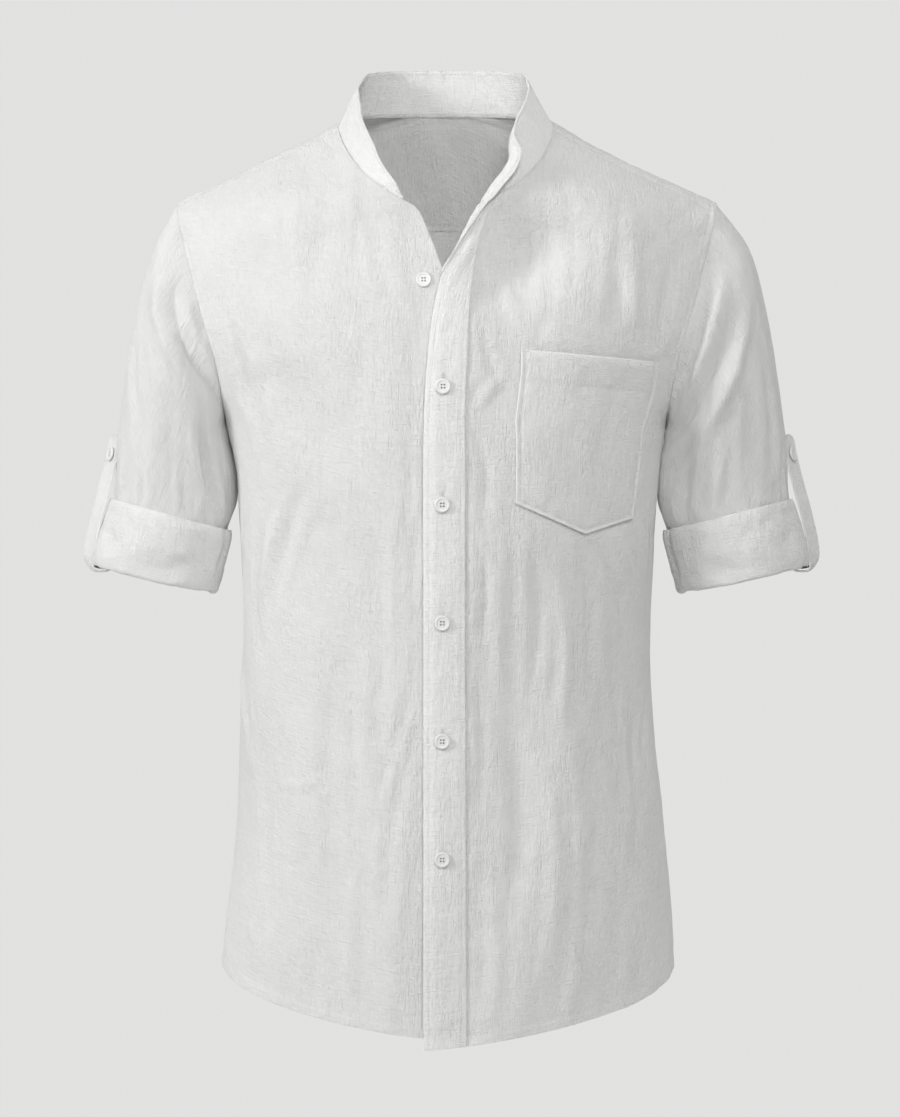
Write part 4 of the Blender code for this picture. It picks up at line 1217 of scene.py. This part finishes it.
def make_cuff(side):
    outside, down = smooth_rows(CUFF_PATH, np.linspace(0, len(CUFF_PATH) - 1, CUFF_STEPS)).T
    level = CUFF_TOP + down / CUFF_HEIGHT
    tight, loose = (smooth_rows(sleeve_rings(side, grow), level) for grow in (0.0, 1.0))
    points = tight + (loose - tight) * outside[:, None, None]
    flip = side == "left"
    panel = faced(points, flip)
    start, end, first, last = from_edges(panel)
    height = 1.6 * wrinkles(panel, CUFF_WRINKLES, 81) * joined(last, 10)
    height += 0.8 * noise(panel.across / 26, panel.along / 60, 82) * ramp(panel.along, 60, 45)
    height += pucker(first, panel.across, 83, 0.7)
    height *= joined(np.minimum(start, end), 10)
    place, half_width, rise = CUFF_SEAM_RIDGE
    seam = groove(start - CUFF_SEAM, 2.6, 1.6) + rise * bell(start - place, half_width)
    height += seam * ramp(panel.along, 47, 33)
    return cloth_piece(f"cuff_{side}", panel, flip, height, CUFF_CLOTH)


def make_tab(side):
    x, z = smooth_rows(TAB_PATH, np.linspace(0, len(TAB_PATH) - 1, TAB_STEPS)).T
    x = x + SLEEVE_REACH[side][1] - TAB_CLOSER * ramp(z, -260, -320)
    middle = SLEEVE_RINGS["cuff_top"][SLEEVE_COLUMNS.index("middle")]
    line = np.stack((x * SIDE_SIGN[side], np.full(TAB_STEPS, middle), z), axis=-1)
    run = run_along(line)
    rounding = 1 - np.clip(1 - run / TAB_ROUNDED, 0, 1) ** TAB_END_POWERS[0]
    half = TAB_WIDTH / 2 * np.maximum(rounding, TAB_TIP) ** TAB_END_POWERS[1]
    share = np.linspace(-1, 1, TAB_COLUMNS)
    turn = np.radians(TAB_TURN) * ramp(run, *TAB_TURN_END)
    ahead = np.gradient(line, axis=0)
    outward = np.stack((-ahead[:, 2], 0 * run, ahead[:, 0]), axis=-1)
    outward *= SIDE_SIGN[side] / np.linalg.norm(outward, axis=1, keepdims=True)
    over = np.array((0.0, 1.0, 0.0)) * np.cos(turn)[:, None] + outward * np.sin(turn)[:, None]
    points = line[:, None, :] + over[:, None, :] * (half[:, None] * share)[..., None]
    flip = side == "left"
    panel = faced(points, flip)
    edge = np.minimum(*from_edges(panel)[:2])
    height = wrinkles(panel, BAND_WRINKLES, 91) * 0.6 + groove(edge - TAB_STITCH, 0.2)
    return cloth_piece(f"tab_{side}", panel, flip, height, CUFF_CLOTH)


# --- Stitches and buttons -------------------------------------------------------------------------------

STITCH_PITCH = 2.9
STITCH_LENGTH = 2.3
THREAD = 0.24  # half the thread's width
SPINDLE = 0.45  # share of half a stitch at which it has its full width
CLOSE_STITCHES = (1.5, 1.4)  # pitch and length of those that tack the pocket's corners
POCKET_TACK = (8.0, 17.0, 3.0)  # width and length of a tack's triangle, and the width of its lower end
TACK_INSET = 1.2
TACK_START, TACK_STEPS = 0.8, 12  # where its lines begin below the top edge, and their points
TACK_BARS = (0.9, ((0.0, 0.09), (0.91, 1.0)))  # how far in its bars lie, and their parts of the top edge
ARMHOLE_LOWEST = -240  # z above which stitches follow the armhole
FLAT_STITCHES = (0.42, pi / 2, 0.2)  # pitch, turn and half width of a buttonhole's stitches
# Each line of stitches: its panel, the edge that it follows, how far in it lies, and the part of the edge.
STITCH_LINES = (
    ("placket", "start", PLACKET_STITCH),
    ("placket", "end", PLACKET_STITCH),
    ("collar", "start", COLLAR_STITCH),
    ("collar", "end", COLLAR_STITCH),
    ("collar", "first", COLLAR_SEAM),
    ("pocket", "start", POCKET_STITCH, 0.02, 1.0),
    ("pocket", "end", POCKET_STITCH, 0.02, 1.0),
    ("pocket", "last", POCKET_STITCH, 0.03, 0.97),
    ("pocket", "first", POCKET_HEM, 0.03, 0.97),
    ("front_right", "start", BUTTON_STAND, 0.80, 0.97),
    ("front_right", "first", HEM),
    ("front_right", "last", SHOULDER_STITCH, 0.1, 0.97),
    ("front_left", "first", HEM),
    ("front_left", "last", SHOULDER_STITCH, 0.1, 0.97),
    ("back", "last", HEM),
    ("yoke", "start", ARMHOLE_STITCH),
    ("yoke", "end", ARMHOLE_STITCH),
    *[("yoke", edge, inset) for edge in ("first", "last") for inset in YOKE_STITCHES],
    *[(f"tab_{side}", edge, TAB_STITCH, 0.06, 1.0) for side in SIDE_SIGN for edge in ("start", "end")],
)
# Those that also show inside the open neck, and the thickness of the cloth that they come through.
INNER_LINES = (
    ("collar", "start", COLLAR_STITCH, BAND_CLOTH),
    ("collar", "end", COLLAR_STITCH, BAND_CLOTH),
    ("yoke", "last", 1.0, CLOTH),
)
ARMHOLE_LINES = (("front_right", "end"), ("front_left", "end"), ("back", "start"), ("back", "end"))


def stitch_row(line, out, pitch=STITCH_PITCH, length=STITCH_LENGTH, turned=0.0, thread=THREAD):
    """Stitches along a line, as (centre, half of the stitch, side, up) arrays."""
    run = run_along(line)
    at = np.arange(pitch / 2, run[-1], pitch)
    centre, up = read_at(at, run, line), read_at(at, run, out)
    up /= np.linalg.norm(up, axis=1, keepdims=True)
    ahead = read_at(at + 0.5, run, line) - read_at(at - 0.5, run, line)
    ahead -= up * np.sum(ahead * up, axis=1, keepdims=True)
    ahead /= np.maximum(np.linalg.norm(ahead, axis=1, keepdims=True), NO_LENGTH)
    side = np.cross(up, ahead)
    along = ahead * np.cos(turned) + side * np.sin(turned)
    side = side * np.cos(turned) - ahead * np.sin(turned)
    return centre + up * thread * 0.5, along * length / 2, side * thread, up * thread


def stitch_mesh(rows):
    """One mesh of all stitches: each is a spindle of four sides, thin at its two ends."""
    centre, along, side, up = (np.concatenate(parts) for parts in zip(*rows))
    points = [centre - along - up, centre + along - up]
    for end in (-SPINDLE, SPINDLE):
        points += [centre + along * end + shift for shift in (side, up, -side, -up)]
    points = np.stack(points, axis=1)
    faces = []
    for k in range(4):
        n = (k + 1) % 4
        faces += [(0, 2 + n, 2 + k), (2 + k, 2 + n, 6 + n), (2 + k, 6 + n, 6 + k), (1, 6 + k, 6 + n)]
    faces = np.array(faces)[None] + points.shape[1] * np.arange(len(points))[:, None, None]
    mesh = bpy.data.meshes.new("stitching")
    mesh.from_pydata((points.reshape(-1, 3) * MM).tolist(), [], faces.reshape(-1, 3).tolist())
    return mesh


def beside_armhole(panel):
    """The share of a panel's rows that lie beside the armhole."""
    above = np.flatnonzero(panel.points[:, -1, 2] > ARMHOLE_LOWEST)
    last = len(panel.points) - 1
    return above[0] / last, above[-1] / last


def pocket_tacks(panel):
    """A triangle of close stitches at both upper corners of the pocket."""
    width, length, narrow = POCKET_TACK
    across, grid = panel.across[0], np.concatenate((panel.points, panel.out), axis=2)
    down = np.linspace(TACK_START, length, TACK_STEPS)
    at_rows = np.searchsorted(panel.along[:, 0], down)
    rows = []
    for turned in (False, True):
        if turned:
            across, grid = across[-1] - across[::-1], grid[:, ::-1]
        for over in (width * (1 - down / length) + narrow * down / length, 0 * down + TACK_INSET):
            line = np.array([read_at(x, across, grid[k]) for k, x in zip(at_rows, over)])
            rows.append(stitch_row(line[:, :3], line[:, 3:], *CLOSE_STITCHES))
    inset, parts = TACK_BARS
    rows += [stitch_row(*line_along(panel, "first", inset, part), *CLOSE_STITCHES) for part in parts]
    return rows


def stitch_lines(panels):
    rows = pocket_tacks(panels["pocket"])
    for name, edge, inset, *part in STITCH_LINES:
        rows.append(stitch_row(*line_along(panels[name], edge, inset, part or (0.0, 1.0))))
    for name, edge, inset, thickness in INNER_LINES:
        line, out = line_along(panels[name], edge, inset)
        rows.append(stitch_row(line - out * thickness, -out))
    for name, edge in ARMHOLE_LINES:
        panel = panels[name]
        rows.append(stitch_row(*line_along(panel, edge, ARMHOLE_STITCH, beside_armhole(panel))))
    return rows


BUTTON_PROFILE = (
    (0.0, 1.5), (3.7, 1.5), (4.0, 1.56), (4.3, 1.86), (4.7, 2.0), (5.4, 1.95), (5.8, 1.7), (6.0, 1.3),
    (5.95, 0.7), (5.6, 0.3), (5.0, 0.2), (0.0, 0.2),
)  # fmt: skip
BUTTON_SIDES = 48
HOLE_OUT = 1.15  # each hole's distance from both middle lines
DRILL_PROFILE = ((0.0, 4.0), (0.72, 4.0), (0.72, -1.0), (0.0, -1.0))
DRILL_SIDES = 12
THREAD_REACH = 0.6  # half the length of thread that shows between two holes
THREAD_HEIGHT = 1.5
PLACKET_BUTTON_X = -3.1
FIRST_BUTTON = (17.5, -133.5)
SECOND_BUTTON_Z = -218.0
BUTTON_PITCH = 91.6
PLACKET_BUTTONS = 5
TAB_BUTTON_Z = -266.0
HOLE_ABOVE = 2.5  # how much higher than its button a buttonhole's middle lies
HOLE_HALF = (1.4, 7.5)  # half a buttonhole's width and length
HOLE_SIDE = 0.75  # from its slit to the middle of its stitches
HOLE_STITCHES = (1.25, 1.1)  # length of the stitches at its sides and in its bars
HOLE_STEPS, BAR_STEPS = 30, 4


def turned_mesh(name, profile, sides):
    """A profile of (radius, height) turned round its axis."""
    points, faces, rings = [], [], []
    for radius, height in profile:
        if radius == 0.0:
            rings.append([len(points)] * sides)
            points.append((0.0, 0.0, height * MM))
            continue
        rings.append([len(points) + k for k in range(sides)])
        angles = [2 * pi * k / sides for k in range(sides)]
        points += [(radius * np.cos(a) * MM, radius * np.sin(a) * MM, height * MM) for a in angles]
    for ring, below in zip(rings, rings[1:]):
        for k in range(sides):
            n = (k + 1) % sides
            corners = (ring[k], below[k], below[n], ring[n])
            faces.append([c for i, c in enumerate(corners) if c not in corners[:i]])
    mesh = bpy.data.meshes.new(name)
    mesh.from_pydata(points, [], faces)
    return mesh


def button_mesh():
    """A rimmed button with four holes."""
    scene = bpy.context.scene.collection.objects
    blank = bpy.data.objects.new("blank", turned_mesh("blank", BUTTON_PROFILE, BUTTON_SIDES))
    tools = [blank]
    for x in (-HOLE_OUT, HOLE_OUT):
        for y in (-HOLE_OUT, HOLE_OUT):
            drill = bpy.data.objects.new("drill", turned_mesh("drill", DRILL_PROFILE, DRILL_SIDES))
            drill.location = (x * MM, y * MM, 0.0)
            cut = blank.modifiers.new("Hole", "BOOLEAN")
            cut.object = drill
            cut.solver = "EXACT"
            tools.append(drill)
    for each in tools:
        scene.link(each)
    mesh = bpy.data.meshes.new_from_object(blank.evaluated_get(bpy.context.evaluated_depsgraph_get()))
    mesh.name = "button"
    for each in tools:
        bpy.data.objects.remove(each)
    return mesh


def button_threads(centre, turn, out):
    """Two threads that join a button's holes in pairs."""
    rows = []
    for y in (-HOLE_OUT, HOLE_OUT):
        ends = [np.array(turn @ Vector((x, y, THREAD_HEIGHT))) for x in (-THREAD_REACH, THREAD_REACH)]
        line = centre + np.array(ends)
        rows.append(stitch_row(line, np.array([out, out]), 2 * THREAD_REACH, 2 * THREAD_REACH))
    return rows


def buttonhole(centre_x, centre_z):
    """Two columns of satin stitches beside an upright slit in the placket, with a bar at each end."""
    pitch, turn, half_thread = FLAT_STITCHES
    half_width, half_length = HOLE_HALF
    side_stitch, bar_stitch = HOLE_STITCHES
    z = np.linspace(centre_z - half_length, centre_z + half_length, HOLE_STEPS)
    x = np.linspace(centre_x - half_width, centre_x + half_width, BAR_STEPS)
    sides = [(centre_x + shift, z, side_stitch) for shift in (-HOLE_SIDE, HOLE_SIDE)]
    bars = [(x, end, bar_stitch) for end in (z[0], z[-1])]
    rows = []
    for line_x, line_z, length in sides + bars:
        line, out = front_points("left", line_x, line_z, PLACKET_LIFT)
        rows.append(stitch_row(line, out, pitch, length, turn, half_thread))
    return rows


def make_buttons(panels, mesh, material):
    """All buttons at the places of the CAD's, and the rows of stitches that go with them."""
    mesh.materials.append(material)
    rows = []
    x, z = FIRST_BUTTON
    places = [("button_1", *front_points("right", x, z, LAYER_GAP))]
    for k in range(PLACKET_BUTTONS):
        z = SECOND_BUTTON_Z - k * BUTTON_PITCH
        centre, out = front_points("left", PLACKET_BUTTON_X, z, PLACKET_LIFT + LAYER_GAP)
        places.append((f"button_{k + 2}", centre, out))
        rows += buttonhole(PLACKET_BUTTON_X, z + HOLE_ABOVE)
    for side in SIDE_SIGN:
        panel = panels[f"tab_{side}"]
        middle = panel.points.shape[1] // 2
        number = np.flatnonzero(panel.points[:, middle, 2] <= TAB_BUTTON_Z)[0]
        out = panel.out[number, middle]
        places.append((f"tab_button_{side}", panel.points[number, middle] + out * LAYER_GAP, out))
    for node, centre, out in places:
        centre, out = centre.ravel(), out.ravel()
        turn = Vector(out).to_track_quat("Z", "Y")
        button = bpy.data.objects.new(f"turned_{node}", mesh)
        button.rotation_euler = turn.to_euler()
        button.location = Vector(centre) * MM
        bpy.context.scene.collection.objects.link(button)
        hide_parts(node)
        rows += button_threads(centre, turn, out)
    return rows


# --- Materials ------------------------------------------------------------------------------------------


def add_node(tree, kind, values=(), links=(), **settings):
    """A shader node with its settings, the values of its inputs and the outputs that feed them."""
    node = tree.nodes.new(f"ShaderNode{kind}")
    for name, value in settings.items():
        setattr(node, name, value)
    for socket, value in values:
        node.inputs[socket].default_value = value
    for socket, output in links:
        tree.links.new(output, node.inputs[socket])
    return node


def new_material(name, colour, roughness):
    material = bpy.data.materials.new(name)
    material.use_nodes = True
    shader = material.node_tree.nodes["Principled BSDF"]
    shader.inputs["Base Color"].default_value = (*colour, 1.0)
    shader.inputs["Roughness"].default_value = roughness
    return material, material.node_tree, shader


def colour_between(tree, shader, share, dark, pale, ends=(0.0, 1.0)):
    """Feeds the shader a colour from dark to pale as share goes from one of the ends to the other."""
    ramp = add_node(tree, "ValToRGB", links=[("Fac", share)])
    for element, colour, end in zip(ramp.color_ramp.elements, (dark, pale), ends):
        element.color = (*colour, 1.0)
        element.position = end
    tree.links.new(ramp.outputs["Color"], shader.inputs["Base Color"])


LINEN_SHADER = {
    "Sheen Weight": 0.08,
    "Specular IOR Level": 0.25,
    "Subsurface Weight": 0.6,
    "Subsurface Radius": (1.0, 1.0, 1.0),
    "Subsurface Scale": 0.004,
}
STROKE_TURNS = (0.7, -0.6)  # radians that the short strokes in the weave lean to either side
WEAVE_DEPTH = 0.0011


def linen_material():
    """White linen: slubs along warp and weft, fine crinkle, and a slightly uneven white."""
    material, tree, shader = new_material("white_linen_weave", (0.83, 0.83, 0.815), 0.85)
    for name, value in LINEN_SHADER.items():
        shader.inputs[name].default_value = value
    cloth = add_node(tree, "Attribute", attribute_name="cloth").outputs["Vector"]

    def slubs(per_metre_across, per_metre_along, detail, turn=0.0):
        values = (("Scale", (per_metre_across, per_metre_along, 1.0)), ("Rotation", (0.0, 0.0, turn)))
        mapping = add_node(tree, "Mapping", values, [("Vector", cloth)], vector_type="POINT")
        values = (("Scale", 1.0), ("Detail", detail), ("Roughness", 0.6))
        return add_node(tree, "TexNoise", values, [("Vector", mapping.outputs["Vector"])]).outputs["Fac"]

    def add(a, b, share):
        return add_node(tree, "Math", [(1, share)], [(0, b), (2, a)], operation="MULTIPLY_ADD").outputs[0]

    warp, weft = slubs(1000, 60, 2.0), slubs(90, 1000, 2.0)
    crinkle, folds = slubs(230, 150, 3.0), slubs(110, 22, 2.0)
    strokes = add(*[slubs(620, 170, 1.0, turn) for turn in STROKE_TURNS], 1.0)
    patch_values = (("From Min", 0.42), ("From Max", 0.62))
    patches = add_node(tree, "MapRange", patch_values, [("Value", slubs(26, 16, 1.0))]).outputs["Result"]
    in_patches = add_node(tree, "Math", links=[(0, strokes), (1, patches)], operation="MULTIPLY").outputs[0]
    height = add(add(add(add(warp, weft, 0.95), crinkle, 1.0), folds, 1.3), in_patches, 0.9)
    depth = (("Strength", 0.95), ("Distance", WEAVE_DEPTH))
    bump = add_node(tree, "Bump", depth, [("Height", height)])
    tree.links.new(bump.outputs["Normal"], shader.inputs["Normal"])
    both = add(warp, weft, 1.0)
    mean = add_node(tree, "Math", [(1, 0.5)], [(0, both)], operation="MULTIPLY").outputs[0]
    colour_between(tree, shader, mean, (0.80, 0.80, 0.785), (0.89, 0.89, 0.88), (0.25, 0.75))
    return material


def plain_material(name, colour, roughness, uneven):
    """A plain finish whose colour varies slightly over the object."""
    material, tree, shader = new_material(name, colour, roughness)
    place = add_node(tree, "TexCoord").outputs["Object"]
    spots = add_node(tree, "TexNoise", [("Scale", 900.0)], [("Vector", place)]).outputs["Fac"]
    dark, pale = ([min(1.0, c * (1 + change)) for c in colour] for change in (-uneven, uneven))
    colour_between(tree, shader, spots, dark, pale)
    return material


# --- Stage ----------------------------------------------------------------------------------------------

BACKGROUND = (0.755, 0.76, 0.75)
ROOM = (0.445, 0.445, 0.445)
BEHIND = (0.6, 0.85)  # the room turns into the background between these shares of the way to the back
LIT_POINT = Vector((0.0, 0.0, -0.30))
LAMPS = (  # place, size and power in watts
    ("key", (-1.77, -1.11, 0.42), 0.6, 23.4),
    ("fill", (0.32, -1.84, 0.87), 0.6, 19.0),
)
COLOUR_A, COLOUR_B, COLOUR_RESULT = 6, 7, 2  # a Mix node's sockets for colours
FLOOR_Z = -1.45
FLOOR_RADIUS = 4.0
FLOOR_SIDES = 64
CAMERA_PLACE = (0.0, -3.0, -0.3515)
LENS = 148.15
SENSOR_WIDTH = 36
FRAME_WIDTH = 900
FRAME_SHIFT = (4, 0.5)  # pixels of the frame's width


def light_room(tree):
    """An even backdrop behind the shirt, and a dimmer room in front of it."""
    place = add_node(tree, "TexCoord").outputs["Generated"]
    depth = add_node(tree, "SeparateXYZ", links=[("Vector", place)]).outputs["Y"]
    ends = (("From Min", BEHIND[0]), ("From Max", BEHIND[1]))
    behind = add_node(tree, "MapRange", ends, [("Value", depth)]).outputs["Result"]
    mix = add_node(tree, "Mix", data_type="RGBA")
    mix.inputs[COLOUR_A].default_value = (*ROOM, 1.0)
    mix.inputs[COLOUR_B].default_value = (*BACKGROUND, 1.0)
    tree.links.new(behind, mix.inputs["Factor"])
    tree.links.new(mix.outputs[COLOUR_RESULT], tree.nodes["Background"].inputs["Color"])


def set_stage():
    scene = bpy.context.scene
    scene.world = bpy.data.worlds.new("pale room")
    scene.world.use_nodes = True
    light_room(scene.world.node_tree)
    scene.view_settings.view_transform = "Standard"

    mesh = bpy.data.meshes.new("floor")
    turns = np.linspace(0, 2 * pi, FLOOR_SIDES + 1)[:-1]
    corners = [(FLOOR_RADIUS * np.cos(a), FLOOR_RADIUS * np.sin(a), FLOOR_Z) for a in turns]
    mesh.from_pydata(corners, [], [tuple(range(FLOOR_SIDES))])
    mesh.materials.append(new_material("pale_floor", (0.75, 0.75, 0.745), 0.9)[0])
    floor = bpy.data.objects.new("floor", mesh)
    scene.collection.objects.link(floor)

    for name, place, size, energy in LAMPS:
        light = bpy.data.lights.new(name, "AREA")
        light.shape = "DISK"
        light.size = size
        light.energy = energy
        lamp = bpy.data.objects.new(name, light)
        lamp.location = place
        lamp.rotation_euler = (LIT_POINT - lamp.location).to_track_quat("-Z", "Y").to_euler()
        scene.collection.objects.link(lamp)

    lens = bpy.data.cameras.new("camera")
    lens.sensor_fit = "HORIZONTAL"
    lens.sensor_width = SENSOR_WIDTH
    lens.lens = LENS
    lens.shift_x, lens.shift_y = (pixels / FRAME_WIDTH for pixels in FRAME_SHIFT)
    camera = bpy.data.objects.new("camera", lens)
    camera.location = CAMERA_PLACE
    camera.rotation_euler = (pi / 2, 0.0, 0.0)
    scene.collection.objects.link(camera)
    scene.camera = camera


# --- The shirt ------------------------------------------------------------------------------------------


linen = linen_material()
thread = plain_material("white_thread", (0.80, 0.80, 0.79), 0.6, 0.05)
shell = plain_material("white_shell_button", (0.76, 0.76, 0.74), 0.3, 0.03)

panels = {}
for make in (make_fronts, make_placket, make_pocket, make_back, make_yoke, make_collar):
    panels |= make()
for side in SIDE_SIGN:
    panels |= make_sleeve(side) | make_cuff(side) | make_tab(side)
rows = stitch_lines(panels) + make_buttons(panels, button_mesh(), shell)
add_piece("stitching", stitch_mesh(rows), thread)
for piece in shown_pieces():
    if piece.parent is None:
        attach(piece, BODY)
set_stage()
